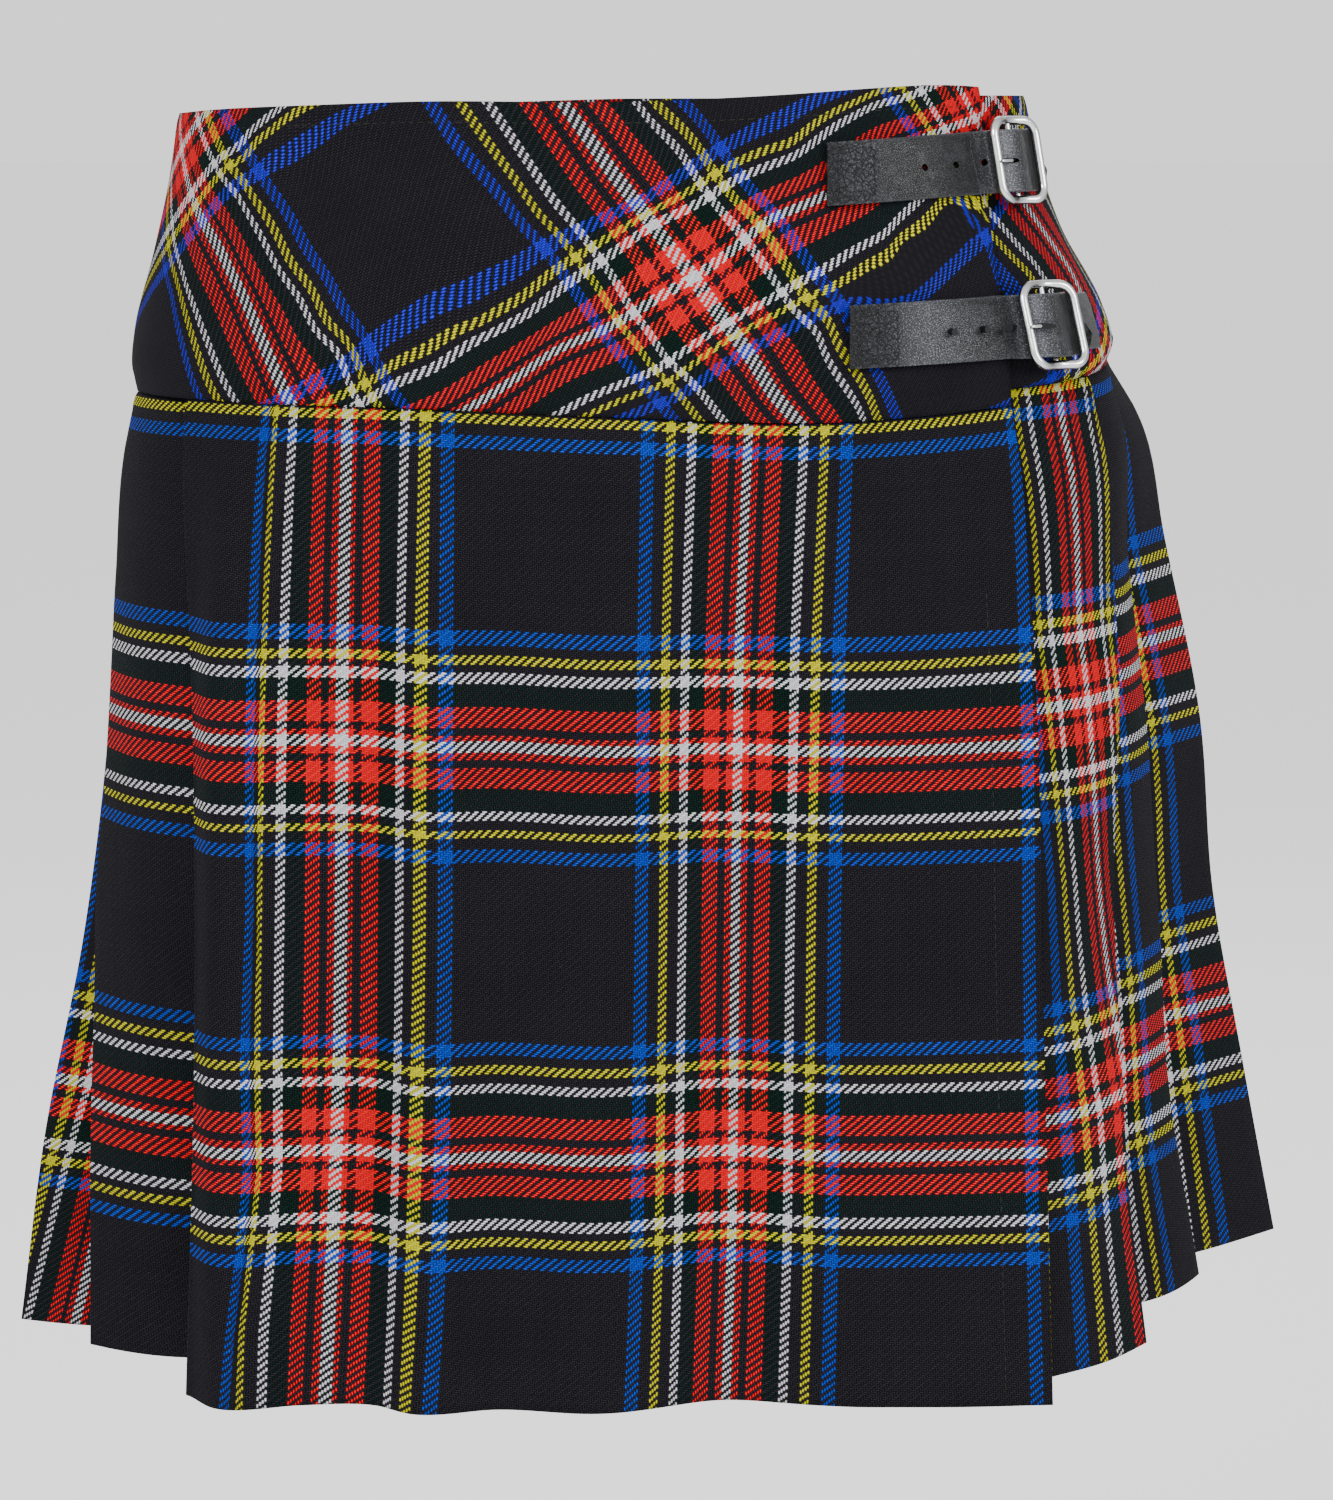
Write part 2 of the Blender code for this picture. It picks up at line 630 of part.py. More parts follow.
# The full frame with rounded corners, its long rails bowed back to the middle bar
def buckle(collection, fastening, metal):
    half_width = BUCKLE_WIDTH / 2
    half_height = BUCKLE_HEIGHT / 2
    outline = []
    for corner_u, corner_z, start in ((1, 1, 0), (-1, 1, 90), (-1, -1, 180), (1, -1, 270)):
        for angle in np.linspace(start, start + 90, 5):
            a = math.radians(angle)
            outline.append((corner_u * (half_width - BUCKLE_CORNER) + BUCKLE_CORNER * math.cos(a),
                            corner_z * (half_height - BUCKLE_CORNER) + BUCKLE_CORNER * math.sin(a)))
        if corner_u == corner_z:
            outline.append((0.0, corner_z * half_height))
    points = []
    for u, z in outline:
        bow = BAR_BACK * max(0.0, 1 - abs(u) / half_width)
        points.append(from_buckle(fastening, u, z, bow))
    frame = wire("frame_outline_" + fastening.name, points, BUCKLE_WIRE, True)
    collection.objects.link(frame)
    bpy.context.view_layer.update()
    seen = frame.evaluated_get(bpy.context.evaluated_depsgraph_get())
    mesh = bpy.data.meshes.new_from_object(seen)
    bpy.data.objects.remove(frame)
    mesh.materials.clear()
    mesh.materials.append(metal)
    mesh.shade_smooth()
    piece = bpy.data.objects.new("buckle_" + fastening.name, mesh)
    collection.objects.link(piece)
    length = BUCKLE_HEIGHT * math.hypot(1, fastening.lean)
    bpy.ops.mesh.primitive_cylinder_add(vertices=12, radius=BAR_WIRE * MM, depth=length * MM)
    bar = bpy.context.object
    bar.name = "bar_" + fastening.name
    bar.location = [value * MM for value in from_buckle(fastening, 0, 0, BAR_BACK)]
    bar.rotation_euler = (-math.atan(fastening.lean), 0, math.radians(fastening.turn))
    as_cutter(bar)
    join = piece.modifiers.new("Bar", "BOOLEAN")
    join.operation = "UNION"
    join.object = bar


def prong(collection, fastening, metal):
    rest = BUCKLE_WIRE + ON_CLOTH + PRONG_WIRE
    low = BAR_BACK + BAR_WIRE + ON_CLOTH + PRONG_WIRE
    half = BUCKLE_WIDTH / 2
    line = curve_through([(0.6, low), (-3.2, low + 0.7), (-6.6, rest - 0.6), (-half, rest),
                          (-half - 1.2, rest - 0.1)], 9)
    points = [from_buckle(fastening, u, 0, w) for u, w in line]
    pin = wire("prong_" + fastening.name, points, PRONG_WIRE, False)
    pin.data.materials.append(metal)
    collection.objects.link(pin)


def main():
    for item in list(bpy.data.objects):
        bpy.data.objects.remove(item)
    skirt = bpy.data.collections.new("kilt_skirt")
    cutters = bpy.data.collections.new("cutters")
    bpy.context.scene.collection.children.link(skirt)
    bpy.context.scene.collection.children.link(cutters)
    cloth = (0.012, 0.010, 0.014)
    front_yoke(skirt, add_material("yoke_cloth", (0.30, 0.02, 0.03), 0.9, 0))
    back_yoke(skirt, add_material("back_yoke_cloth", (0.20, 0.02, 0.03), 0.9, 0))
    front_apron(skirt, add_material("apron_cloth", cloth, 0.9, 0))
    under_apron(skirt, add_material("under_apron_cloth", cloth, 0.9, 0))
    pleats(skirt, "pleats_left", -1, add_material("left_pleat_cloth", cloth, 0.9, 0))
    pleats(skirt, "pleats_right", 1, add_material("right_pleat_cloth", (0.02, 0.04, 0.2), 0.9, 0))
    for fastening in FASTENINGS:
        name = fastening.name
        strap(skirt, fastening, add_material("strap_leather_" + name, (0.02, 0.02, 0.022), 0.5, 0))
        tab(skirt, fastening, add_material("tab_leather_" + name, (0.02, 0.02, 0.022), 0.5, 0))
        buckle(skirt, fastening, add_material("buckle_metal_" + name, (0.75, 0.75, 0.76), 0.2, 1))
        prong(skirt, fastening, add_material("prong_metal_" + name, (0.75, 0.75, 0.76), 0.2, 1))


main()
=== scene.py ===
import math

import bpy
import bmesh
import numpy as np
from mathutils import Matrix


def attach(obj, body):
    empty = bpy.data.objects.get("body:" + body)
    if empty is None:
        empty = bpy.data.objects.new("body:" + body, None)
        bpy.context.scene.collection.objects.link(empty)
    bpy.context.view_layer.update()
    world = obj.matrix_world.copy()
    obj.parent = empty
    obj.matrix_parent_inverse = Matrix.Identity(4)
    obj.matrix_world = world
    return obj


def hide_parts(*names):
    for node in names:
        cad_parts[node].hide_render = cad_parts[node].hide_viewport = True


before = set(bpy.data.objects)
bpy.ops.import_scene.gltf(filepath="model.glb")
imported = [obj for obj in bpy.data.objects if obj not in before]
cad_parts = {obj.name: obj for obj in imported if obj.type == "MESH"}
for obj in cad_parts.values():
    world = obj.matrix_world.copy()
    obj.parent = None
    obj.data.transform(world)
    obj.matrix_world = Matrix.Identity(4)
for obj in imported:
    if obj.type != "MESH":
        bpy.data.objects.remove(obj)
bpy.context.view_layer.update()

mm = 0.001
scene = bpy.context.scene

# A place on the worn form is (level, s, out), in millimetres: level 0 is the waist edge, 1 the yoke seam
# and 2 the hem, s runs round the body from the middle of the front, out is the distance off its outer face.

worn = {
    # level, left, right, front, back, square: half-widths and half-depths of the form at each level
    "sections": np.array([
        (0.00, 148.4, 138.2, 100, 100, 2.8),
        (0.25, 152.0, 143.3, 105, 106, 2.8),
        (0.50, 157.1, 151.4, 110, 111, 2.9),
        (0.78, 163.7, 165.5, 115, 116, 3.0),
        (0.90, 164.8, 169.0, 117, 118, 3.0),
        (1.00, 164.0, 168.5, 118, 119, 3.0),
        (1.07, 168.6, 180.0, 122, 124, 3.0),
        (1.20, 171.8, 188.0, 130, 132, 3.0),
        (1.40, 175.7, 201.0, 138, 141, 3.0),
        (1.60, 184.6, 207.5, 146, 150, 3.0),
        (1.80, 198.8, 220.2, 153, 159, 3.0),
        (2.00, 208.9, 233.6, 160, 168, 3.0),
    ]),
    "backSquare": 2.2,
    "ringSteps": 720,
    "levelSteps": 100,
}

# Drops of the edges below the origin: turn (share of the way from front to back), waist, seam, hem
leftEdges = [
    (-1.00, 0.0, 92.0, 406.0),
    (-0.52, 5.0, 98.0, 411.0),
    (-0.40, 4.5, 96.5, 412.0),
    (-0.31, 3.0, 96.2, 412.0),
    (-0.25, 2.2, 96.5, 412.0),
]
rightEdges = [
    (0.52, -0.9, 85.9, 402.0),
    (0.75, -0.3, 89.0, 403.5),
    (1.00, 0.0, 92.0, 406.0),
]
bodyEdges = np.array(leftEdges + [
    (-0.15, 0.9, 97.0, 412.0),
    (0.00, 1.0, 99.8, 412.0),
    (0.15, -1.5, 101.7, 412.0),
    (0.20, -2.9, 100.5, 412.0),
    (0.27, -4.3, 97.9, 412.0),
    (0.38, -2.6, 91.5, 407.0),
] + rightEdges)
underEdges = np.array(leftEdges + [
    (-0.10, 2.0, 96.0, 409.0),
    (0.15, 0.0, 94.5, 406.0),
    (0.28, -1.0, 92.4, 404.0),
    (0.36, -1.0, 90.1, 402.5),
] + rightEdges)

cloth = {
    "thickness": 1.15,
    "layer": 1.8,           # from one layer of folded cloth to the next, at the seam
    "layerAtHem": 3.0,
    "seamGap": 0.3,
    "buttGap": 0.03,        # where two cloths meet edge to edge
    "seamRoll": 0.9,        # how far a sewn edge rolls in, and over what length
    "seamRollLength": 2.4,
    "underOut": -2.6,       # the back yoke where it lies under the front one
    "skirtUnder": -4.4,     # the skirt where it lies under the apron
    "underReach": -100.0,
    "underJoin": 84.0,
    "underShift": 20.0,
    "riseFrom": 4.0,
    "riseTo": 26.0,
    "frontYokeTall": 98.0,
    "backYokeTall": 93.0,
    "skirtTall": 312.0,
    "yokeHang": 0.6,        # the yoke's share of the skirt's small waves
}

# The apron's two edges (level, freeEdge, leftFold) and how far it stands off the form at the hem (s, out)
apron = {
    "edges": np.array([
        (0.00, 126.5, -146.0),
        (0.50, 127.5, -146.0),
        (1.00, 131.5, -146.0),
        (1.35, 134.0, -135.0),
        (1.65, 136.0, -132.5),
        (2.00, 139.0, -136.5),
    ]),
    "stand": np.array([
        (-146.0, 3.0),
        (-137.0, 5.0),
        (-124.0, 14.0),
        (-100.0, 5.0),
        (-76.0, 1.0),
        (-59.0, 8.0),
        (-38.0, 2.5),
        (0.0, 5.5),
        (35.0, -5.5),
        (66.0, -1.0),
        (100.0, 4.0),
        (139.0, 10.0),
    ]),
    "standBy": 0.4,
    "returnWidth": 9.0,
    "flatEdge": 8.0,
}

# Fold edges from the apron to the back (level, s, out), with the step behind each at the hem
pleating = {
    "right": [
        {"step": 38.0, "edge": np.array([
            (1.00, 172.0, 0.5), (1.15, 174.2, -1.5), (1.30, 175.3, -2.5), (1.50, 176.0, -8.5),
            (1.70, 180.0, -10.5), (1.85, 183.0, -13.0), (2.00, 186.0, -10.5),
        ])},
        {"step": 34.0, "edge": np.array([
            (1.00, 205.0, -0.5), (1.14, 214.5, -9.5), (1.30, 226.0, -14.5), (1.45, 238.5, -18.0),
            (1.62, 252.0, -19.5), (1.78, 263.5, -26.0), (2.00, 279.0, -28.5),
        ])},
        {"step": 28.0, "edge": np.array([
            (1.00, 249.0, 0.0), (1.15, 260.0, 1.5), (1.50, 292.5, 3.0), (2.00, 339.0, 2.5),
        ])},
    ],
    "left": [
        {"step": 42.0, "edge": np.array([
            (1.00, 196.0, 0.0), (1.20, 204.0, 0.0), (1.40, 206.0, 1.0), (1.53, 207.0, 0.5),
            (1.66, 206.0, -4.0), (1.78, 205.5, -8.5), (1.90, 204.5, -11.8), (2.00, 204.0, -14.0),
        ])},
        {"step": 30.0, "edge": np.array([
            (1.00, 226.0, 0.0), (1.50, 233.0, 0.6), (2.00, 243.0, 0.6),
        ])},
    ],
    "apronStep": 42.0,
    "backPleats": 5,
    "backStep": 27.0,
    "underlay": 32.0,
    "faceSteps": 16,
    "turnSteps": 7,
    "underlaySteps": 6,
    "bulge": 1.2,           # of a face that is at least bulgeFrom wide
    "bulgeFrom": 40.0,
}

# How many rows of points each cloth has, then how many points there are along the parts of a row
fineness = {
    "frontYokeCloth": 64,
    "backYokeCloth": 56,
    "frontApronCloth": 96,
    "underApronCloth": 96,
    "leftPleatCloth": 96,
    "rightPleatCloth": 96,
    "finerAtSeam": 1.15,
    "frontYoke": 190,
    "backYoke": (60, 24, 150, 120),
    "apron": 230,
    "underApron": 90,
    "underJoin": 12,
}

# The check: half of the repeat each way from the middle of the white centre line, as (colour, ends at)
tartan = {
    "warpYarn": 0.72,
    "weftYarn": 0.60,
    "warp": [("white", 1.6), ("red", 3.6), ("black", 5.5), ("red", 10.4), ("green", 15.9), ("white", 19.0),
             ("black", 22.1), ("yellow", 25.3), ("black", 28.9), ("blue", 33.1), ("black", 63.25)],
    "weft": [("white", 1.6), ("red", 4.0), ("black", 6.3), ("red", 12.9), ("green", 19.8), ("white", 23.1),
             ("black", 25.9), ("yellow", 28.9), ("black", 32.0), ("blue", 36.3), ("black", 64.9)],
    "colours": {
        "black": (0.0140, 0.0130, 0.0172),
        "red": (0.66, 0.004, 0.010),
        "green": (0.0040, 0.0135, 0.0105),
        "white": (0.60, 0.60, 0.63),
        "yellow": (0.50, 0.47, 0.006),
        "blue": (0.007, 0.045, 0.38),
    },
    "yokeBlue": (0.016, 0.018, 0.42),
}
warpHalf = tartan["warp"][-1][1]
weftHalf = tartan["weft"][-1][1]
halfCloth = cloth["thickness"] / 2


def lengthAlong(points):
    return np.concatenate([[0], np.cumsum(np.linalg.norm(np.diff(points, axis=0), axis=1))])


# The way out from a line in plan, square to it
def outward(line):
    ahead = np.gradient(line, axis=0)
    return np.stack([ahead[:, 1], -ahead[:, 0]], -1) / np.linalg.norm(ahead, axis=1)[:, None]


def smooth(at, xs, ys):
    slopes = np.gradient(ys, xs)
    at = np.clip(at, xs[0], xs[-1])
    cell = np.clip(np.searchsorted(xs, at) - 1, 0, len(xs) - 2)
    width = xs[cell + 1] - xs[cell]
    t = (at - xs[cell]) / width
    start = ys[cell] * (1 + 2 * t) * (1 - t) ** 2 + slopes[cell] * width * t * (1 - t) ** 2
    end = ys[cell + 1] * t * t * (3 - 2 * t) + slopes[cell + 1] * width * t * t * (t - 1)
    return start + end


# A column of a table, read smoothly at a place along its first one
def column(table, at, number):
    return smooth(at, table[:, 0], table[:, number])


# The form's outline at a level: length round it, X and Y, from back to back through the front
def ring(level):
    left, right, front, back, square = (float(column(worn["sections"], level, n)) for n in range(1, 6))
    angle = np.linspace(-math.pi, math.pi, worn["ringSteps"] + 1)
    across, ahead = np.sin(angle), np.cos(angle)
    power = 2 / np.where(ahead > 0, square, worn["backSquare"])
    x = np.where(across > 0, right, left) * np.sign(across) * np.abs(across) ** power
    y = -np.where(ahead > 0, front, back) * np.sign(ahead) * np.abs(ahead) ** power
    s = lengthAlong(np.stack([x, y], -1))
    return s - s[worn["ringSteps"] // 2], x, y


# The form as a grid over level and turn: X, Y and the two parts of the way out, and each half's length
def bodyGrid():
    turns = np.linspace(-1, 1, worn["ringSteps"] + 1)
    rows, halves = [], []
    for level in bodyLevels:
        s, x, y = ring(level)
        at = turns * np.where(turns > 0, s[-1], -s[0])
        line = np.stack([np.interp(at, s, x), np.interp(at, s, y)], -1)
        rows.append(np.concatenate([line, outward(line)], -1))
        halves.append((-s[0], s[-1]))
    return np.array(rows), np.array(halves)


bodyLevels = np.linspace(0, 2, worn["levelSteps"] + 1)
body, halfRounds = bodyGrid()
print("form ready")


def halfRound(level, side):
    return float(np.interp(level, bodyLevels, halfRounds[:, 1 if side > 0 else 0]))


def edgeDrops(edges, turn):
    return [column(edges, turn, number) for number in (1, 2, 3)]


def dropAt(edges, level, turn):
    waist, seam, hem = edgeDrops(edges, turn)
    return np.where(level <= 1, waist + (seam - waist) * level, seam + (hem - seam) * (level - 1))


def levelOf(edges, drop, turn):
    waist, seam, hem = edgeDrops(edges, turn)
    return np.where(drop < seam, (drop - waist) / (seam - waist), 1 + (drop - seam) / (hem - seam))


def turnOf(level, s):
    return s / np.where(s > 0, halfRound(level, 1), halfRound(level, -1))


# Points at one level of a piece, for lengths s round the form and distances out from it
def place(level, s, out, edges):
    s = np.asarray(s, float)
    turn = turnOf(level, s)
    drop = dropAt(edges, level, turn)
    row = np.clip(levelOf(bodyEdges, drop, turn), 0, 2) * worn["levelSteps"] / 2
    col = np.clip((turn + 1) / 2, 0, 1) * worn["ringSteps"]
    low = np.minimum(row.astype(int), worn["levelSteps"] - 1)
    near = np.minimum(col.astype(int), worn["ringSteps"] - 1)
    down, on = (row - low)[:, None], (col - near)[:, None]
    upper, lower = (body[n, near] * (1 - on) + body[n, near + 1] * on for n in (low, low + 1))
    x, y, outX, outY = (upper * (1 - down) + lower * down).T
    return np.stack([x + out * outX, y + out * outY, -drop], -1)


def spread(level):
    share = np.clip((level - 1) / apron["standBy"], 0, 1)
    return 1 - (1 - share) ** 2


# How far the apron, or what hangs close under it, stands off the form
def apronOut(level, s, edges):
    turn = turnOf(level, s)
    return spread(levelOf(bodyEdges, dropAt(edges, level, turn), turn)) * column(apron["stand"], s, 1)


def layerAt(level):
    return cloth["layer"] + (cloth["layerAtHem"] - cloth["layer"]) * (level - 1)


def underOut(level, s):
    return apronOut(level, s, underEdges) + cloth["skirtUnder"] + cloth["layer"] - layerAt(level)


def freeEdge(level):
    return float(column(apron["edges"], level, 1))


def foldEdge(level):
    return float(column(apron["edges"], level, 2))


# A sewn edge rolls in over its last few millimetres
def seamRoll(level, at, tall):
    away = np.abs(level - at) * tall
    return -cloth["seamRoll"] * np.exp(-(away / cloth["seamRollLength"]) ** 2 * 2)


def foldTurn(s, out, radius, way):
    angles = np.linspace(0, math.pi, pleating["turnSteps"])
    return [(s + way * radius * math.sin(a), out - radius * (1 - math.cos(a))) for a in angles]


# Soft troughs and ridges pressed or hung into the cloth
creases = {
    # s at the top, s at the bottom, from level, to level, half-width, height
    "front_apron": [
        (-62.0, -66.0, 1.55, 2.05, 7.0, 1.8),
        (-84.0, -88.0, 1.30, 2.02, 16.0, -1.3),
        (-20.0, -12.0, 1.50, 2.05, 18.0, 1.4),
        (34.0, 38.0, 1.35, 2.05, 15.0, -1.6),
        (70.0, 78.0, 1.60, 2.05, 13.0, 1.2),
        (104.0, 112.0, 1.25, 1.95, 15.0, -0.9),
        (2.0, -4.0, 1.02, 1.40, 20.0, 0.9),
        (95.0, 90.0, 1.02, 1.30, 14.0, 0.8),
    ],
    # middle s, middle level, half-length, half-height in levels, height, rise of the right end in levels
    "across": [
        (38.0, 1.085, 26.0, 0.012, -0.9, 0.004),
        (-40.0, 1.06, 30.0, 0.015, 0.5, -0.006),
        (88.0, 1.05, 22.0, 0.012, 0.6, 0.01),
    ],
    "front_yoke": [
        (98.0, 96.0, 0.15, 0.62, 9.0, 1.1),
        (112.0, 108.0, 0.30, 0.95, 8.0, -0.8),
        (-118.0, -112.0, 0.05, 0.95, 16.0, 0.7),
        (40.0, 46.0, 0.50, 1.00, 18.0, -0.7),
        (-40.0, -34.0, 0.10, 0.80, 22.0, 0.6),
    ],
    "back_yoke": [
        (168.0, 176.0, 0.10, 0.98, 12.0, 0.9),
        (230.0, 224.0, 0.05, 0.90, 20.0, -0.7),
        (330.0, 338.0, 0.10, 0.95, 24.0, 0.8),
        (-330.0, -322.0, 0.05, 0.95, 22.0, -0.7),
        (-250.0, -258.0, 0.10, 0.95, 18.0, 0.7),
    ],
}


def creaseOut(piece, level, s):
    total = np.zeros_like(np.asarray(s, float))
    for top, bottom, first, last, half, height in creases.get(piece, []):
        share = (level - first) / (last - first)
        if not 0 < share < 1:
            continue
        middle = top + (bottom - top) * share
        fade = math.sin(math.pi * min(share, 0.5 + 0.22 * share))
        total += height * fade * np.exp(-((s - middle) / half) ** 2)
    if piece == "front_apron":
        for middle, at, half, tall, height, rise in creases["across"]:
            lean = at + rise * (s - middle) / half
            total += height * np.exp(-((s - middle) / half) ** 2 - ((level - lean) / tall) ** 2)
    return total


# Small uneven waves that any hung cloth has: length, share of the phase, turn by level, height
hangWaves = [(23.0, 1.0, 2.1, 0.22), (9.7, -1.7, 5.0, 0.10)]


def hang(level, s, phase):
    waves = sum(height * np.sin(s / length + part * phase + turn * level)
                for length, part, turn, height in hangWaves)
    return waves * (0.4 + max(level - 1, 0))


# Where stripes of the bias-cut front yoke run: a stripe's place across the cloth, then (s, drop) along it
yokeStripes = {
    "warp": {
        31.0: [(23.2, 1.6), (35.6, 17.1), (45.6, 30.1), (58.1, 44.8), (70.6, 61.1), (79.0, 75.9),
                (89.2, 95.6)],
        23.7: [(13.3, 1.6), (32.3, 23.6), (45.6, 38.2), (61.0, 62.5), (70.5, 75.8), (83.3, 98.5)],
        17.45: [(8.3, 2.4), (20.7, 16.2), (30.6, 30.9), (41.4, 43.9), (53.9, 61.1), (65.5, 74.1),
                (79.1, 98.6)],
        0.0: [(0.0, 23.6), (13.3, 40.6), (25.6, 56.1), (36.4, 70.8), (50.5, 92.0)],
        95.5: [(114.4, 32.2), (120.9, 39.9), (124.7, 44.2), (128.5, 57.2)],
        102.8: [(121.7, 32.3), (128.4, 38.9)],
        109.05: [(127.3, 35.7)],
        -17.45: [(-3.2, 51.2), (5.8, 65.8), (17.4, 82.1)],
        -23.7: [(-44.0, 6.9), (-33.4, 21.6), (-22.9, 36.3), (-11.5, 49.5), (-4.1, 59.3), (8.3, 77.2),
                (17.4, 87.8)],
        -31.0: [(-57.7, 1.7), (-50.0, 13.5), (-36.4, 28.9), (-21.4, 46.5)],
        -95.5: [(-123.2, 16.0), (-116.0, 24.9), (-104.8, 38.1), (-91.4, 57.2), (-77.1, 79.1)],
        -102.8: [(-130.5, 21.3), (-120.4, 30.1), (-104.4, 51.4), (-91.2, 70.4), (-78.7, 90.1)],
        -109.05: [(-135.1, 23.6), (-125.5, 31.0), (-113.0, 47.1), (-100.8, 63.2), (-88.0, 79.2),
                (-81.9, 93.9)],
        -126.5: [(-147.2, 34.4), (-132.6, 47.5), (-121.3, 62.1), (-112.1, 79.6), (-104.5, 95.9)],
        -143.95: [(-156.5, 49.7), (-147.7, 59.9), (-138.8, 71.5), (-130.3, 86.1), (-125.3, 94.3)],
        -157.5: [(-155.6, 63.2), (-147.7, 77.8), (-140.5, 94.2)],
    },
    "weft": {
        -27.4: [(-75.6, 87.9), (-57.3, 77.5), (-42.3, 70.0), (-27.4, 61.2), (-11.5, 49.5), (12.4, 35.0),
                (32.3, 23.6), (43.9, 17.9), (57.3, 13.8), (66.8, 6.5), (79.7, 0.5)],
        -21.45: [(-72.6, 90.8), (-57.4, 84.8), (-42.3, 75.2), (-27.4, 67.8), (-12.5, 56.8), (12.4, 39.8),
                 (30.6, 30.9), (45.6, 22.8), (60.7, 16.3), (69.7, 9.8), (82.6, 2.8), (96.5, -0.4)],
        0.0: [(-45.4, 96.6), (-33.4, 89.1), (-18.4, 78.8), (-2.2, 71.9), (25.6, 56.1), (37.2, 48.0),
                (50.6, 37.4)],
        21.45: [(18.2, 81.3), (53.9, 60.2), (67.3, 53.0), (79.2, 46.2), (88.5, 41.8), (99.8, 31.2)],
        27.4: [(17.4, 88.6), (35.6, 75.7), (61.0, 62.5), (68.7, 59.2), (81.5, 51.5), (91.7, 43.5),
                (108.4, 32.1)],
        29.2: [(69.8, 62.0), (82.3, 55.5), (93.7, 46.8), (111.1, 34.2)],
        31.6: [(95.2, 60.6), (102.5, 56.0), (111.9, 49.3), (123.3, 41.9)],
        34.15: [(14.1, 95.2), (42.2, 78.9), (71.4, 64.5), (83.8, 66.0), (96.6, 63.0), (103.9, 58.3),
                (113.4, 51.6), (124.7, 44.2)],
        36.7: [(73.0, 67.0), (85.4, 69.0), (98.0, 65.4), (105.4, 60.5), (114.6, 53.8), (126.3, 46.4)],
        50.0: [(92.0, 78.8), (111.5, 70.3), (120.3, 63.6)],
        70.0: [(105.6, 86.9), (123.4, 79.4)],
        -34.2: [(-75.6, 76.1), (-57.4, 64.2), (-39.3, 56.8), (-21.4, 46.5), (10.0, 31.7), (36.4, 14.6),
                (50.6, 7.3), (62.4, 1.6)],
        -95.6: [(-117.9, 23.4), (-105.5, 17.4), (-95.4, 11.4), (-88.9, 6.9), (-77.8, 1.7)],
        -102.4: [(-163.7, 46.9), (-147.2, 34.4), (-130.5, 21.3), (-118.4, 13.0), (-109.2, 7.0),
                (-100.7, 2.5)],
        -108.35: [(-136.6, 19.9), (-126.4, 15.3), (-118.5, 8.5), (-111.2, 4.0)],
    },
    "unit": 50.0,
    "looseness": 0.004,
}


# A smooth sheet over scattered marks (a thin-plate spline), loose enough to even out their small errors
def sheetOver(marks):
    marks = np.array(marks)
    unit = yokeStripes["unit"]
    at = marks[:, :2] / unit

    def bend(first, second):
        square = ((first[:, None] - second[None]) ** 2).sum(-1)
        return 0.5 * square * np.log(np.maximum(square, 1e-12))

    def slopes(spots):
        return np.concatenate([np.ones((len(spots), 1)), spots], 1)

    count = len(at)
    whole = np.zeros((count + 3, count + 3))
    whole[:count, :count] = bend(at, at) + yokeStripes["looseness"] * np.eye(count)
    whole[:count, count:] = slopes(at)
    whole[count:, :count] = slopes(at).T
    found = np.linalg.solve(whole, np.concatenate([marks[:, 2], np.zeros(3)]))

    def value(s, drop):
        spot = np.stack([s, drop], -1) / unit
        return bend(spot, at) @ found[:count] + slopes(spot) @ found[count:]

    return value


def marksOf(stripes):
    return [(s, drop, value) for value, spots in stripes.items() for s, drop in spots]


# Each yoke's check: the sheets of its places across the warp and across the weft
frontCheck = [sheetOver(marksOf(yokeStripes[which])) for which in ("warp", "weft")]

backBias = {
    "mark": (165.0, 50.0),          # s, drop
    "warp": (126.5, 0.80, -0.62),   # place at the mark, along s, down
    "weft": (63.4, 0.64, 0.80),
    "evenS": (240.0, 310.0, 380.0, 450.0, 520.0, 590.0, 660.0),
    "evenDrops": (0.0, 23.0, 46.0, 69.0, 92.0),
    "edgeS": 127.0,
    "edgeDrops": (4.0, 20.0, 50.0, 66.0, 82.0, 94.0),
    "shown": {
        109.05: [(136.2, 42.6), (143.2, 49.2), (149.5, 55.8)],
        102.8: [(136.5, 49.4), (144.7, 56.0)],
        126.5: [(151.3, 37.1), (163.2, 48.5), (170.1, 56.6), (174.0, 75.0)],
        150.2: [(145.8, 0.7)],
    },
}


def backSheet(which, front, shown):
    markS, markDrop = backBias["mark"]
    at, along, down = backBias[which]
    marks = list(shown)
    for drop in backBias["evenDrops"]:
        wider = halfRound(drop / backBias["evenDrops"][-1], 1) / halfRound(0.5, 1)
        even = at + down * (drop - markDrop)
        marks += [(s * wider, drop, even + along * (s - markS)) for s in backBias["evenS"]]
    drops = np.array(backBias["edgeDrops"])
    edge = front(np.full(len(drops), backBias["edgeS"]), drops)
    return sheetOver(marks + [(backBias["edgeS"], drop, value) for drop, value in zip(drops, edge)])


backCheck = [
    backSheet("warp", frontCheck[0], marksOf(backBias["shown"])),
    backSheet("weft", frontCheck[1], []),
]


def yokePlaces(check, s, row):
    return np.stack([sheet(s, -row[:, 2]) for sheet in check], -1)


# On the skirt the weft runs level with the seam; weftZero is the level of a band's white middle line
weftZero = 1.331
weftPerLevel = 316.0


def skirtPlaces(level, warp, slip=0.0):
    return np.stack([warp, np.full(len(warp), (level - weftZero) * weftPerLevel) + slip], -1)


# Reads places on the cloth between marks along it, and carries them on past the first and the last
def readOn(length, marks, places):
    past = 300
    marks = [marks[0] - past] + marks + [marks[-1] + past]
    places = [places[0] - past] + places + [places[-1] + past]
    return np.interp(length, marks, places)


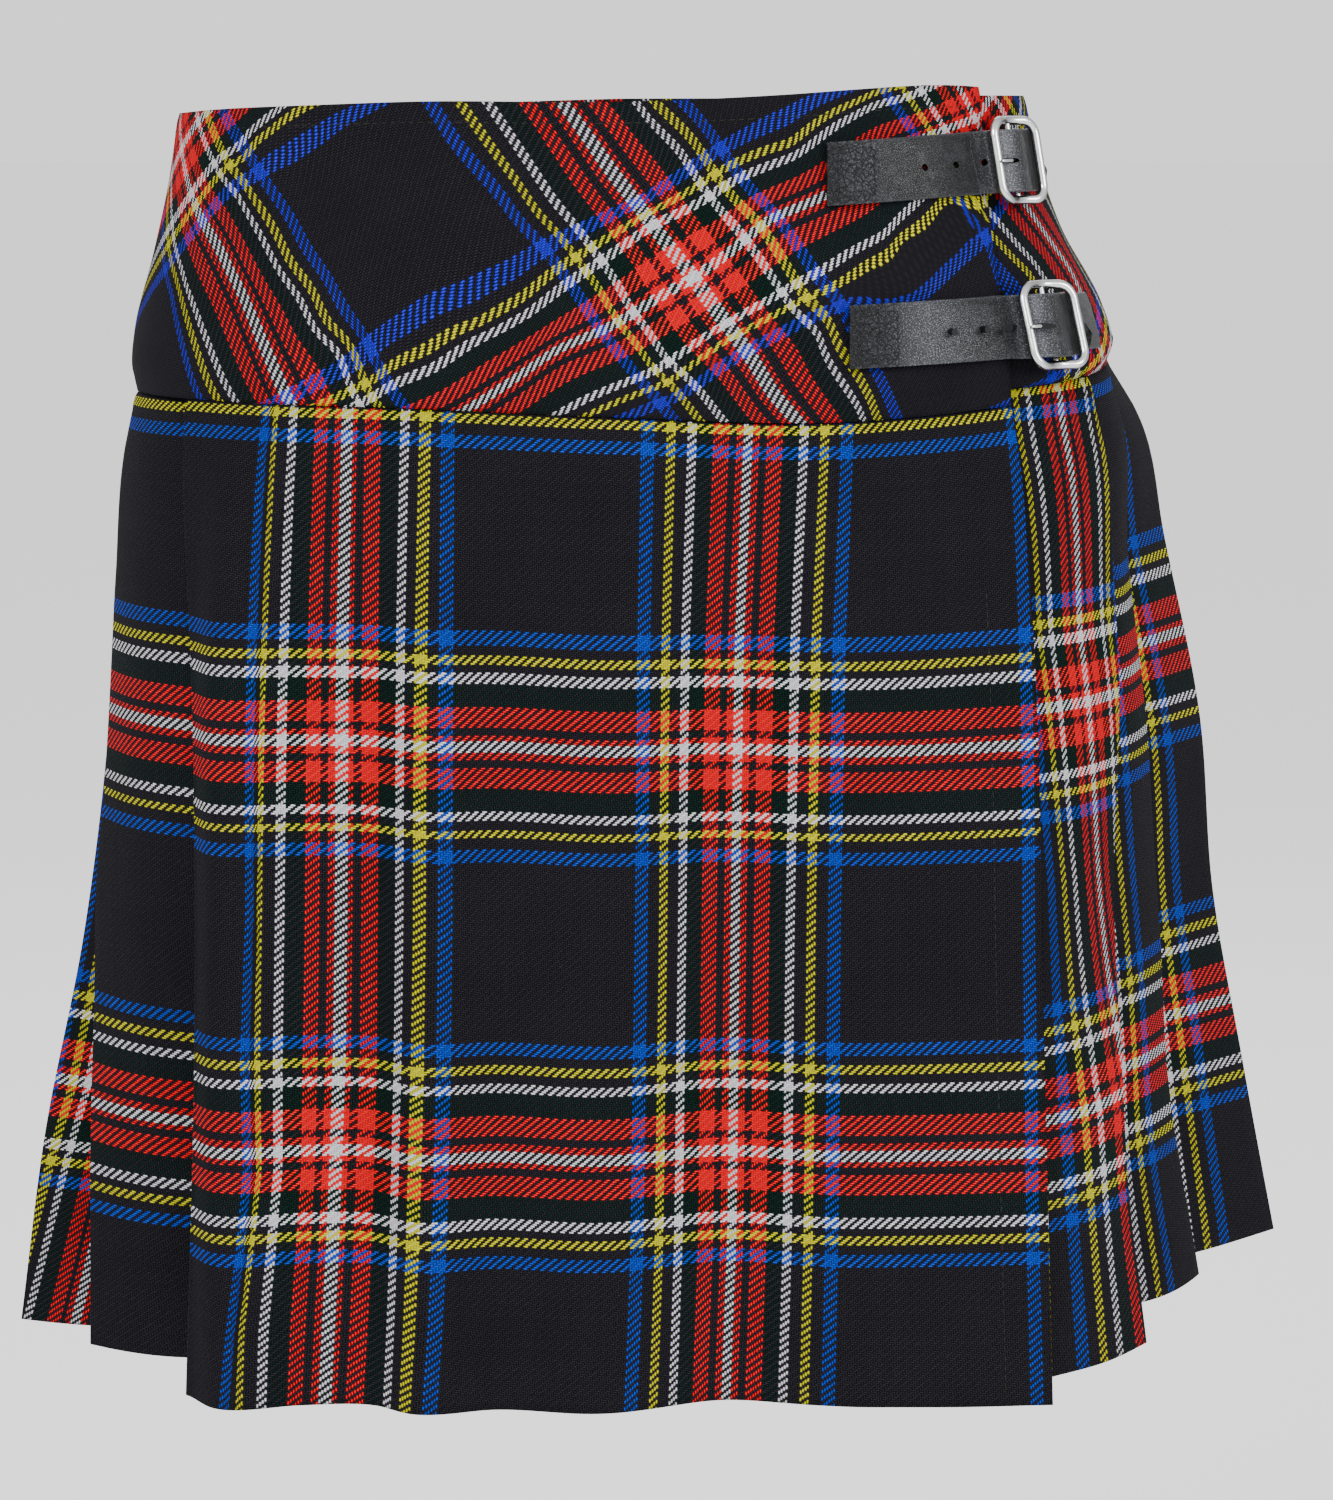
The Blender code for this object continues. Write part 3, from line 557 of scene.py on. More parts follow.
# Where the apron's vertical stripes lie: level, then s of the stripes at the places named below
apronStripeAt = [-31.0, -23.7, 0.0, 31.0, 88.0, 2 * warpHalf, 2 * warpHalf + 31.0, 4 * warpHalf - 31.0]
apronStripes = np.array([
    (1.00, -111.9, -109.4, -85.0, -51.9, 3.3, 43.1, 75.0, 129.9),
    (1.22, -111.9, -109.6, -86.3, -51.7, 2.2, 40.3, 72.0, 129.9),
    (1.51, -112.3, -110.8, -87.3, -52.0, 1.3, 39.1, 70.6, 130.6),
    (1.65, -113.8, -111.5, -88.0, -52.6, 0.6, 38.7, 70.3, 131.4),
    (1.76, -113.3, -111.2, -89.3, -53.5, 0.1, 38.4, 70.0, 131.9),
    (1.84, -115.3, -113.6, -90.2, -54.3, -0.3, 38.0, 69.8, 132.4),
    (1.92, -118.2, -116.2, -91.4, -55.6, -1.2, 37.0, 69.3, 133.2),
    (2.00, -120.6, -116.9, -92.7, -57.4, -2.4, 36.1, 68.8, 133.9),
])


def apronWarp(level, s, length):
    at = [np.interp(level, apronStripes[:, 0], stripe) for stripe in apronStripes[:, 1:].T]
    return readOn(length, list(np.interp(at, s, length)), apronStripeAt)


# Place across the warp at each fold edge, cloth for one length of face, and how far the weft has slipped
pleatPhases = {
    "right": [
        {"edge": [(1.0, 22.4), (1.25, 30.2), (1.5, 15.0), (1.75, -4.6), (2.0, -6.0)],
         "stretch": [(1.0, 1.35), (1.25, 1.48), (1.5, 1.31), (1.75, 0.78), (2.0, 0.77)],
         "slip": [(1.0, 0.5), (1.33, 3.6), (1.74, 1.2), (2.0, 1.0)]},
        {"edge": [(1.0, 61.9), (1.25, 57.6), (1.5, 53.2), (1.75, 50.1), (2.0, 53.9)],
         "stretch": [(1.0, 1.0)],
         "slip": [(1.0, 3.0), (1.3, 4.6), (1.74, 0.0), (2.0, -1.0)]},
        {"edge": [(1.0, 61.4), (1.25, 54.5), (1.5, 50.3), (1.75, 50.0), (2.0, 53.0)],
         "stretch": [(1.0, 0.93), (1.5, 0.85), (2.0, 0.79)],
         "slip": [(1.0, 8.0), (1.33, 8.0), (1.74, 4.2), (2.0, 4.0)]},
    ],
    "left": [
        {"edge": [(1.0, 78.0), (1.5, 80.0), (2.0, 82.0)],
         "stretch": [(1.0, 0.85), (2.0, 0.8)],
         "slip": [(1.0, -1.0)]},
        {"edge": [(1.0, 34.5), (1.5, 32.3), (1.75, 31.1), (2.0, 19.7)],
         "stretch": [(1.0, 1.0)],
         "slip": [(1.0, 0.0)]},
    ],
    "rest": {"edge": [(1.0, 58.0)], "stretch": [(1.0, 1.0)], "slip": [(1.0, 0.0)]},
}


def byLevel(rows, level):
    return float(np.interp(level, *zip(*rows)))


def stepAt(step, level):
    least = 2 * cloth["layer"]
    return least + (step - least) * (level - 1)


# Fold edges of one side after the apron: s, out, the step behind, and how the cloth's own stripes fall
def foldRows(side, level):
    which = "right" if side > 0 else "left"
    rows = []
    for fold, phase in zip(pleating[which], pleatPhases[which]):
        s, out = (float(column(fold["edge"], level, n)) for n in (1, 2))
        rows.append([s, out, stepAt(fold["step"], level), phase])
    lastS, lastOut = rows[-1][:2]
    end = halfRound(level, side) - cloth["layer"]
    step = stepAt(pleating["backStep"], level)
    for part in np.linspace(0, 1, pleating["backPleats"] + 1)[1:]:
        rows.append([lastS + (end - lastS) * part, lastOut * (1 - part), step, pleatPhases["rest"]])
    rows[-1][0] = halfRound(level, side) - layerAt(level) / 2 - halfCloth - cloth["seamGap"]
    return rows


def apronFold(level):
    fold = foldEdge(level)
    return -fold, float(apronOut(level, fold, bodyEdges)), stepAt(pleating["apronStep"], level)


def leftReturn(level, along):
    s, out, step = apronFold(level)
    slope = 0.5 * (step - 2 * cloth["layer"]) / pleating["underlay"]
    return (s - along, out - halfCloth - layerAt(level) - slope * along)


# Points on the way from one point to another, bulging in the middle
def between(start, end, steps, bulge=0.0):
    part = np.linspace(0, 1, steps + 1)[1:-1, None]
    straight = np.array(start) + np.subtract(end, start) * part
    return (straight + (0, bulge) * np.sin(math.pi * part) ** 2).tolist()


# The middle of the pleated cloth at one level: (s, out) points, and where each face starts and ends
def pleatPath(side, level):
    layer = layerAt(level)
    underlay = pleating["underlay"]
    steps = pleating["underlaySteps"]
    rows = foldRows(side, level)
    if side > 0:
        joined = np.linspace(cloth["underJoin"] + cloth["seamGap"], freeEdge(level), fineness["underJoin"])
        path = np.stack([joined, underOut(level, joined)], -1).tolist()
    else:
        s, out, step = apronFold(level)
        path = [leftReturn(level, apron["returnWidth"] + cloth["seamGap"])]
        path += foldTurn(*leftReturn(level, underlay), layer / 2, -1) + [(s, out - halfCloth - step)]
    faces = []
    for number, (s, out, step, phase) in enumerate(rows):
        out = out - halfCloth
        before = path[-1]
        pitch = s - before[0]
        start = len(path) - 1
        bulge = pleating["bulge"] * spread(level) * min(1.0, pitch / pleating["bulgeFrom"])
        path += between(before, (s, out), pleating["faceSteps"], bulge)
        faces.append((start, len(path), phase))
        path += foldTurn(s, out, layer / 2, 1)
        behind = (s - underlay, out + (before[1] - out) * underlay / pitch - layer)
        last = path[-1]
        path += between(last, (last[0] - underlay, behind[1]), steps)
        path += foldTurn(*behind, layer / 2, -1)
        end = halfRound(level, side) - cloth["buttGap"] if number == len(rows) - 1 else s
        path += between(path[-1], (end, out - step), steps) + [(end, out - step)]
    return np.array(path), faces


# How far each cloth's outer face lies off the form
def yokeFace(piece, level, s, phase, tall, shown=1.0):
    rolls = seamRoll(level, 1.0, tall) + 0.5 * seamRoll(level, 0.0, tall)
    return (creaseOut(piece, level, s) + cloth["yokeHang"] * hang(level, s, phase)) * shown + rolls


def frontYokeFace(level, s):
    return yokeFace("front_yoke", level, s, 0.4, cloth["frontYokeTall"])


def backYokeFace(level, s):
    free = freeEdge(level)
    rise = [free + cloth["riseFrom"], free + cloth["riseTo"]]
    onForm = s < 2 * cloth["underReach"]
    base = np.where(onForm, 0.0, np.interp(s, rise, [cloth["underOut"] + halfCloth, 0.0]))
    shown = np.where(onForm, 1.0, np.clip((s - free) / cloth["riseTo"], 0, 1))
    return base + yokeFace("back_yoke", level, s, 1.9, cloth["backYokeTall"], shown)


def apronFace(level, s):
    inner = np.clip(np.minimum(s - foldEdge(level), freeEdge(level) - s) / apron["flatEdge"], 0, 1)
    soft = creaseOut("front_apron", level, s) + hang(level, s, 0.0)
    return apronOut(level, s, bodyEdges) + soft * inner


# A level of each cloth: its points, and their places on the cloth across the warp and the weft
def frontYokeRow(level):
    s = np.linspace(-halfRound(level, -1) / 2 + cloth["buttGap"], freeEdge(level), fineness["frontYoke"])
    row = place(level, s, frontYokeFace(level, s) - halfCloth, bodyEdges)
    return row, yokePlaces(frontCheck, s, row)


def backYokeRow(level):
    free, right, left = freeEdge(level), halfRound(level, 1), halfRound(level, -1)
    hidden, rising, shown, beyond = fineness["backYoke"]
    near = np.concatenate([
        np.linspace(cloth["underReach"], free - cloth["riseFrom"], hidden),
        np.linspace(free + cloth["riseFrom"], free + cloth["riseTo"], rising),
        np.linspace(free + cloth["riseTo"], right, shown)[1:],
    ])
    further = np.linspace(-left, -left / 2 - cloth["buttGap"], beyond)[1:]
    s = np.concatenate([near, further])
    row = place(level, s, backYokeFace(level, s) - halfCloth, underEdges)
    return row, yokePlaces(backCheck, np.concatenate([near, further + right + left]), row)


def frontApronRow(level):
    fold = foldEdge(level)
    s = np.linspace(fold, freeEdge(level), fineness["apron"])
    out = apronFace(level, s) - halfCloth
    turn = foldTurn(fold, out[0], layerAt(level) / 2, -1)
    back, deep = leftReturn(level, apron["returnWidth"])
    edge = np.array([(-back, deep)] + turn[:0:-1])
    folded = len(edge)
    s, out = np.concatenate([edge, np.stack([s, out], -1)]).T
    row = place(level, s, out + seamRoll(level, 1.0, cloth["skirtTall"]), bodyEdges)
    length = lengthAlong(row)
    warp = apronWarp(level, s[folded:], length[folded:])
    hidden = warp[0] - (length[folded] - length[:folded])
    return row, skirtPlaces(level, np.concatenate([hidden, warp]))


def underApronRow(level):
    s = np.linspace(cloth["underReach"], cloth["underJoin"], fineness["underApron"])
    return place(level, s, underOut(level, s), underEdges), skirtPlaces(level, s + cloth["underShift"])


def pleatRow(side, level):
    path, faces = pleatPath(side, level)
    row = place(level, side * path[:, 0], path[:, 1] + seamRoll(level, 1.0, cloth["skirtTall"]), underEdges)
    length = lengthAlong(row)
    marks, warp, slip = [], [], []
    for number, (start, edge, phase) in enumerate(faces):
        far = byLevel(phase["edge"], level) + number * 2 * warpHalf
        marks += [length[start], length[edge]]
        warp += [far - (length[edge] - length[start]) * byLevel(phase["stretch"], level), far]
        slip += [byLevel(phase["slip"], level)] * 2
    return row, skirtPlaces(level, side * readOn(length, marks, warp), np.interp(length, marks, slip))


def addPiece(name, mesh):
    piece = bpy.data.objects.new(name, mesh)
    scene.collection.objects.link(piece)
    return piece


def meshOf(name, points, edges, faces):
    mesh = bpy.data.meshes.new(name)
    mesh.from_pydata((np.reshape(points, (-1, 3)) * mm).tolist(), edges, faces)
    return mesh


# Gives each corner of a mesh the place of its point, as a UV map
def mapPlaces(mesh, name, places):
    corners = np.zeros(len(mesh.loops), int)
    mesh.loops.foreach_get("vertex_index", corners)
    mesh.uv_layers.new(name=name).data.foreach_set("uv", places[corners].astype(np.float32).ravel())


# The mesh that a piece shows, with its modifiers worked in
def shownMesh(piece):
    return bpy.data.meshes.new_from_object(piece.evaluated_get(bpy.context.evaluated_depsgraph_get()))


# Works a piece's modifier into its mesh
def workIn(piece, modifier):
    shown = shownMesh(piece)
    piece.modifiers.remove(modifier)
    piece.data = shown


# Four-cornered faces between rows of point numbers and the rows after them
def facesBetween(rows, after):
    return np.stack([rows[:, :-1], after[:, :-1], after[:, 1:], rows[:, 1:]], -1).reshape(-1, 4).tolist()


# A thin shell from a grid of points on its middle, with the cloth's own place in millimetres as its UV map
def shell(name, points, places, material):
    grid = np.arange(points.shape[0] * points.shape[1]).reshape(points.shape[:2])
    mesh = meshOf(name, points, [], facesBetween(grid[:-1], grid[1:]))
    mapPlaces(mesh, "clothMap", places.reshape(-1, 2))
    mesh.shade_smooth()
    mesh.materials.append(material)
    piece = addPiece(name, mesh)
    solidify = piece.modifiers.new("Thickness", "SOLIDIFY")
    solidify.thickness = cloth["thickness"] * mm
    solidify.offset = 0
    solidify.use_even_offset = True
    return piece


def finish(piece, node):
    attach(piece, "root")
    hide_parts(node)


def finishCloth(piece, node):
    finish(piece, node)


# An output in a node tree, on which plain sums add their own nodes
class field:
    def __init__(self, socket):
        self.socket = socket

    def __add__(self, other):
        return maths("ADD", self, other)

    def __sub__(self, other):
        return maths("SUBTRACT", self, other)

    def __rsub__(self, other):
        return maths("SUBTRACT", other, self)

    def __mul__(self, other):
        return maths("MULTIPLY", self, other)

    def __truediv__(self, other):
        return maths("DIVIDE", self, other)

    def __rtruediv__(self, other):
        return maths("DIVIDE", other, self)

    __radd__ = __add__
    __rmul__ = __mul__


# Feeds a node's inputs, each with a number, a colour or a field
def feed(node, inputs):
    for key, value in inputs.items():
        socket = node.inputs[key]
        if isinstance(value, field):
            socket.id_data.links.new(value.socket, socket)
        else:
            socket.default_value = (*value, 1) if socket.type == "RGBA" else value


def addNode(tree, kind, inputs, **settings):
    node = tree.nodes.new(kind)
    for key, value in settings.items():
        setattr(node, key, value)
    feed(node, inputs)
    return node


# One output of a new node
def output(tree, kind, inputs, take=0, **settings):
    return field(addNode(tree, kind, inputs, **settings).outputs[take])


# One output of a new node in the tree that its first field lies in
def worked(kind, inputs, take=0, **settings):
    tree = next(value for value in inputs.values() if isinstance(value, field)).socket.id_data
    return output(tree, kind, inputs, take, **settings)


def maths(operation, *values):
    return worked("ShaderNodeMath", dict(enumerate(values)), operation=operation)


def vectorMaths(operation, inputs, take=0):
    return worked("ShaderNodeVectorMath", inputs, take, operation=operation)


def atMost(value):
    return maths("MINIMUM", value, 1.0)


def clamped(value):
    return atMost(maths("MAXIMUM", value, 0.0))


def wave(value):
    return maths("SINE", value * math.pi)


def blend(share, first, second):
    return first * (1.0 - share) + second * share


def mix(share, first, second):
    return worked("ShaderNodeMix", {0: share, 6: first, 7: second}, 2, data_type="RGBA")


def noise(at, scale, detail=2.0, space="2D", take=0):
    inputs = {"Vector": at, "Scale": scale, "Detail": detail}
    return worked("ShaderNodeTexNoise", inputs, take, noise_dimensions=space)


def cellEdges(at, scale):
    return worked("ShaderNodeTexVoronoi", {"Vector": at, "Scale": scale}, voronoi_dimensions="2D",
                  feature="DISTANCE_TO_EDGE")


def bump(height, strength, distance):
    return worked("ShaderNodeBump", {"Height": height, "Strength": strength, "Distance": distance * mm})


def newMaterial(name):
    material = bpy.data.materials.new(name)
    material.use_nodes = True
    return material, material.node_tree, material.node_tree.nodes["Principled BSDF"]


# A place's two parts
def split(at):
    parts = addNode(at.socket.id_data, "ShaderNodeSeparateXYZ", {0: at}).outputs
    return field(parts[0]), field(parts[1])


# A ramp with hard steps that colours a stripe by its distance from the middle of the band
def stripeRamp(distance, stripes, colours):
    half = stripes[-1][1]
    ramp = addNode(distance.socket.id_data, "ShaderNodeValToRGB", {0: distance / half})
    stops = ramp.color_ramp.elements
    ramp.color_ramp.interpolation = "CONSTANT"
    stops.remove(stops[-1])
    start = 0.0
    for colour, end in stripes:
        stop = stops.new(start / half) if start else stops[0]
        stop.color = (*colours[colour], 1)
        start = end
    return field(ramp.outputs[0])


# 2/2 twill: two yarns over, two under, stepping one yarn along in each row
def tartanMaterial(name, blue, calm):
    material, tree, shader = newMaterial(name)
    colours = {**tartan["colours"], "blue": blue}
    warpYarn, weftYarn = tartan["warpYarn"], tartan["weftYarn"]
    uv = output(tree, "ShaderNodeUVMap", {}, uv_map="clothMap")
    hair = noise(uv, 1.5, 3.0, take="Color")
    u, v = split(vectorMaths("MULTIPLY_ADD", {0: hair, 1: (0.42, 0.42, 0), 2: uv}))
    u, v = u / warpYarn, v / weftYarn
    warpNumber, weftNumber = maths("FLOOR", u), maths("FLOOR", v)
    acrossWarp, acrossWeft = u - warpNumber, v - weftNumber
    state = maths("FLOORED_MODULO", warpNumber + weftNumber, 4.0)
    weftOnTop = maths("GREATER_THAN", state, 1.5)

    warpAt = maths("PINGPONG", (warpNumber + 0.2) * warpYarn, warpHalf)
    weftAt = maths("PINGPONG", (weftNumber + 0.2) * weftYarn, weftHalf)
    warpColour = stripeRamp(warpAt, tartan["warp"], colours)
    weftColour = stripeRamp(weftAt, tartan["weft"], colours)

    warpHeight = wave(acrossWarp) * (wave((state + acrossWeft) * 0.5) * 0.5 + 0.5)
    weftHeight = wave(acrossWeft) * (wave((state + acrossWarp - 2.0) * 0.5) * 0.5 + 0.5)
    height = blend(weftOnTop, warpHeight, weftHeight)

    fibre = noise(uv, 2.6, 3.0)
    broad = noise(uv, 0.035)
    yarn = worked("ShaderNodeCombineXYZ", {0: warpNumber * (1.0 - weftOnTop), 1: weftNumber * weftOnTop})
    dyeing = worked("ShaderNodeTexWhiteNoise", {"Vector": yarn}, noise_dimensions="2D")
    along = weftNumber * weftYarn
    # Between the weft lines given by calm the painted yarn shade is evened out towards 0.5 and the yarn
    # bump is lessened
    evenedShadeBand = maths("GREATER_THAN", along, calm[0]) * maths("LESS_THAN", along, calm[1]) * 0.85
    same = vectorMaths("DOT_PRODUCT", {0: warpColour, 1: weftColour}, "Value")

    # Painted shade: the colour is darkened in the low gaps between the yarns, by their height; the fibre,
    # dye and broad noise then add the cloth's own uneven tone
    toneAndPaintedShade = maths("POWER", maths("MAXIMUM", height, 0.0), 1.5) * 1.10 + 0.10
    toneAndPaintedShade = toneAndPaintedShade * (fibre * 0.9 + 0.55) * (dyeing * 0.16 + 0.92) * (broad * 0.24 + 0.88)
    toneAndPaintedShade = blend(evenedShadeBand, toneAndPaintedShade, 0.5)
    # Where warp and weft are alike in colour the painted gap shade is lifted towards an even 0.72, painted
    # light bouncing between the yarns; warp floats are shown a fifth darker than weft floats
    toneAndPaintedShade = blend(atMost(same * 2.4) * 0.65, toneAndPaintedShade, 0.72) * (weftOnTop * 0.20 + 0.80)
    colour = mix(weftOnTop, warpColour, weftColour)
    feed(shader, {
        "Base Color": vectorMaths("SCALE", {0: colour, "Scale": toneAndPaintedShade}),
        "Normal": bump(fibre * 0.5 + height * (1.0 - evenedShadeBand), 0.75, 0.22),
        "Roughness": 0.86,
        "Specular IOR Level": 0.03,
        "Sheen Weight": 0.006,
        "Sheen Roughness": 0.45,
        "Sheen Tint": (0.9, 0.9, 1.0),
    })
    return material


# Between two weft lines on the bias yoke the painted shade between the yarns and the yarn bump are evened
# out; the skirt's cloth has no such band
skirtTwill = tartanMaterial("tartanTwill", tartan["colours"]["blue"], (0.0, 0.0))
yokeTwill = tartanMaterial("biasTwill", tartan["yokeBlue"], (28.6, 33.2))
print("tartan ready")


# Stitching: each thread's radius, stitch length and pitch; then where the rows of it run
stitching = {
    "cloth": {"Radius": 0.17, "Length": 2.1, "Pitch": 3.0, "Unevenness": 0.15},
    "leather": {"Radius": 0.24, "Length": 1.8, "Pitch": 2.3, "Unevenness": 0.12},
    "clothThread": ((0.004, 0.005, 0.003), (0.020, 0.021, 0.014)),
    "leatherThread": ((0.004, 0.004, 0.005), (0.016, 0.016, 0.018)),
    "seed": 11,
    "waistDown": 6.5,
    "apronIn": 14.5,
    "apronFrom": 1.18,
    "apronTo": 1.985,
    "boxFrom": 3.6,
    "boxTo": 15.6,
    "boxHalf": 7.6,
}


# A spindle of thread at every pitch along each line
def stitchGroup():
    group = bpy.data.node_groups.new("stitchRow", "GeometryNodeTree")
    kinds = {"Geometry": "Geometry", **{key: "Float" for key in stitching["cloth"]}, "Thread": "Material"}
    newSocket = group.interface.new_socket
    sizes = {key: newSocket(name=key, in_out="INPUT", socket_type="NodeSocket" + kind).identifier
             for key, kind in kinds.items()}
    newSocket(name="Geometry", in_out="OUTPUT", socket_type="NodeSocketGeometry")
    start = group.nodes.new("NodeGroupInput")
    line, radius, length, pitch, unevenness, thread = (field(start.outputs[key]) for key in kinds)
    curve = worked("GeometryNodeMeshToCurve", {"Mesh": line})
    dots = addNode(group, "GeometryNodeCurveToPoints", {"Curve": curve, "Length": pitch}, mode="LENGTH")
    aim = worked("FunctionNodeAlignRotationToVector", {"Vector": field(dots.outputs["Tangent"])}, axis="Z")
    ball = output(group, "GeometryNodeMeshUVSphere", {"Segments": 6, "Rings": 5, "Radius": 1.0}, "Mesh")
    size = worked("ShaderNodeCombineXYZ", {0: radius, 1: radius, 2: length * 0.5})
    spindle = worked("GeometryNodeTransform", {"Geometry": ball, "Scale": size})
    sizeRange = {2: 1.0 - unevenness, 3: unevenness + 1.0, "Seed": stitching["seed"]}
    row = worked("GeometryNodeInstanceOnPoints", {
        "Points": field(dots.outputs["Points"]),
        "Instance": spindle,
        "Rotation": aim,
        "Scale": worked("FunctionNodeRandomValue", sizeRange, 1, data_type="FLOAT"),
    })
    real = worked("GeometryNodeRealizeInstances", {0: row})
    soft = worked("GeometryNodeSetShadeSmooth", {"Geometry": real})
    dressed = worked("GeometryNodeSetMaterial", {"Geometry": soft, "Material": thread})
    addNode(group, "NodeGroupOutput", {0: dressed})
    return group, sizes


def threadMaterial(name, colours):
    material, tree, shader = newMaterial(name)
    twist = noise(output(tree, "ShaderNodeTexCoord", {}, "Object"), 1600.0, space="3D")
    feed(shader, {"Base Color": mix(twist, *colours), "Roughness": 0.8, "Specular IOR Level": 0.2})
    return material


stitchRow, stitchSizes = stitchGroup()
clothThread = threadMaterial("clothThread", stitching["clothThread"])
leatherThread = threadMaterial("leatherThread", stitching["leatherThread"])


# Rows of stitches along chains of points, a closed chain marked so, as a plain mesh that rides on the body
def sew(name, chains, kind, thread):
    points, edges = [], []
    for chain, closed in chains:
        first, last = len(points), len(points) + len(chain) - 1
        points += list(chain)
        edges += [(number, number + 1) for number in range(first, last)] + [(last, first)] * closed
    piece = addPiece(name, meshOf(name, points, edges, []))
    rows = piece.modifiers.new("Stitches", "NODES")
    rows.node_group = stitchRow
    for key, size in stitching[kind].items():
        rows[stitchSizes[key]] = size if key == "Unevenness" else size * mm
    rows[stitchSizes["Thread"]] = thread
    workIn(piece, rows)
    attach(piece, "root")
    print("stitches", name, len(piece.data.polygons), "faces")
    return piece


# The waist's topstitching on the front and the back, and the row inside the apron's free edge
def frontWaistRow():
    level = stitching["waistDown"] / cloth["frontYokeTall"]
    s = np.arange(-halfRound(level, -1) / 2 + 1, freeEdge(level) - 1, 2.0)
    return [(place(level, s, frontYokeFace(level, s), bodyEdges), False)]


def backWaistRow():
    level = stitching["waistDown"] / cloth["backYokeTall"]
    near = np.arange(freeEdge(level) + cloth["riseTo"] / 2, halfRound(level, 1), 2.0)
    further = np.arange(-halfRound(level, -1), -halfRound(level, -1) / 2 - 1, 2.0)
    return [(place(level, s, backYokeFace(level, s), underEdges), False) for s in (near, further)]


def apronRow():
    chain = []
    for level in np.arange(stitching["apronFrom"], stitching["apronTo"], 0.01):
        s = np.array([freeEdge(level) - stitching["apronIn"]])
        chain.append(place(level, s, apronFace(level, s), bodyEdges)[0])
    return [(chain, False)]


# Each cut piece: its name, its node, its row at a level, its stitching, how it is held, what it hangs from
yokePieces = [
    ("frontYokeCloth", "front_yoke", frontYokeRow, frontWaistRow, "stretched", "back_yoke"),
    ("backYokeCloth", "back_yoke", backYokeRow, backWaistRow, "stretched", "front_yoke"),
]
skirtPieces = [
    ("frontApronCloth", "front_apron", frontApronRow, apronRow, "hung", "front_yoke"),
    ("underApronCloth", "under_apron", underApronRow, None, "hung", "back_yoke"),
    ("leftPleatCloth", "pleats_left", lambda level: pleatRow(-1, level), None, "folded", "back_yoke"),
    ("rightPleatCloth", "pleats_right", lambda level: pleatRow(1, level), None, "folded", "back_yoke"),
]


# Builds a cloth, its sewn edge kept clear of the seam
def makeCloth(name, node, rowAt, stitches, held, holder):
    onYoke = node.endswith("yoke")
    share = np.linspace(0, 1, fineness[name])
    levels = share if onYoke else 1 + share ** fineness["finerAtSeam"]
    points, places = (np.array(part) for part in zip(*[rowAt(level) for level in levels]))
    points[-1 if onYoke else 0, :, 2] += cloth["seamGap"] if onYoke else -cloth["seamGap"]
    piece = shell(name, points, places, yokeTwill if onYoke else skirtTwill)
    sewn = [sew(name + "Stitches", stitches(), "cloth", clothThread)] if stitches else []
    finishCloth(piece, node)


for row in yokePieces + skirtPieces:
    makeCloth(*row)


# Straps, tabs, buckles and prongs
leather = {
    "strapThick": 1.6,
    "strapWidth": 20.0,
    "tabThick": 1.2,
    "tabWidth": 18.0,
    "tabLength": 16.0,
    "onCloth": 0.3,
    "tabOff": 0.6,
    "tabLands": -8.0,
    "edgeRound": 0.45,
    "tip": 6.0,
    "tipEnd": 0.35,
    "lift": 5.0,
    "firstHole": 33.0,
    "holePitch": 11.7,
    "holes": 4,
    "holeRadius": 1.1,
    "slotAt": -4.4,
    "slotLength": 3.2,
    "slotTall": 0.8,
    "stations": 150,
    "tabStations": 110,
    "strapTurn": 0.25,
    "tabTurn": 0.4,
    "tabSlot": {"at": -1.35, "out": 2.3, "radius": 1.3, "stretch": 2.1},
}

buckle = {
    "width": 21.5,
    "height": 25.4,
    "corner": 5.0,
    "wire": 1.5,
    "bar": 1.0,
    "barBack": -2.7,
    "barClear": 0.5,
    "prongWire": 0.75,
}

# strapS, strapDrop: where the strap's sewn end lies; x, y, drop, turn, lean: the middle and set of the
# buckle; then the painted highlights on the leather, each as place along it, half-width and strength
fastenings = {
    "upper": {
        "strapS": 68.0, "strapDrop": 23.5, "x": 131.3, "y": -74.2, "drop": 19.5, "turn": 47.0, "lean": 0.22,
        "paintedShine": [(11.0, 9.0, 0.45), (64.0, 4.5, 3.0)],
    },
    "lower": {
        "strapS": 75.0, "strapDrop": 74.5, "x": 141.6, "y": -93.8, "drop": 71.6, "turn": 36.5, "lean": 0.34,
        "paintedShine": [(25.0, 15.0, 1.0), (64.5, 4.5, 2.8)],
    },
}


# A point by its place on a buckle: u along the strap, v up, w towards the viewer
def fromBuckle(fastening, u, v, w):
    turn = math.radians(fastening["turn"])
    off = w - fastening["lean"] * v
    x = fastening["x"] + u * math.cos(turn) + off * math.sin(turn)
    y = fastening["y"] + u * math.sin(turn) - off * math.cos(turn)
    return (x, y, v - fastening["drop"])


def nearestS(level, point):
    arc, x, y = ring(level)
    return float(arc[np.argmin(np.hypot(x - point[0], y - point[1]))])


# Moves points of a line in plan outwards where they lie nearer the body than they may
def keepOff(line, level, least):
    form = np.stack(ring(level)[1:], -1)
    near = [int(np.argmin(np.hypot(*(form - point).T))) for point in line]
    out = outward(form)[near]
    lift = np.maximum(0.0, least - ((line - form[near]) * out).sum(-1))
    return line + lift[:, None] * out


def curveThrough(points, count):
    points = np.array(points, float)
    along = lengthAlong(points)
    at = np.linspace(0, along[-1], count)
    return np.stack([smooth(at, along, values) for values in points.T], -1)


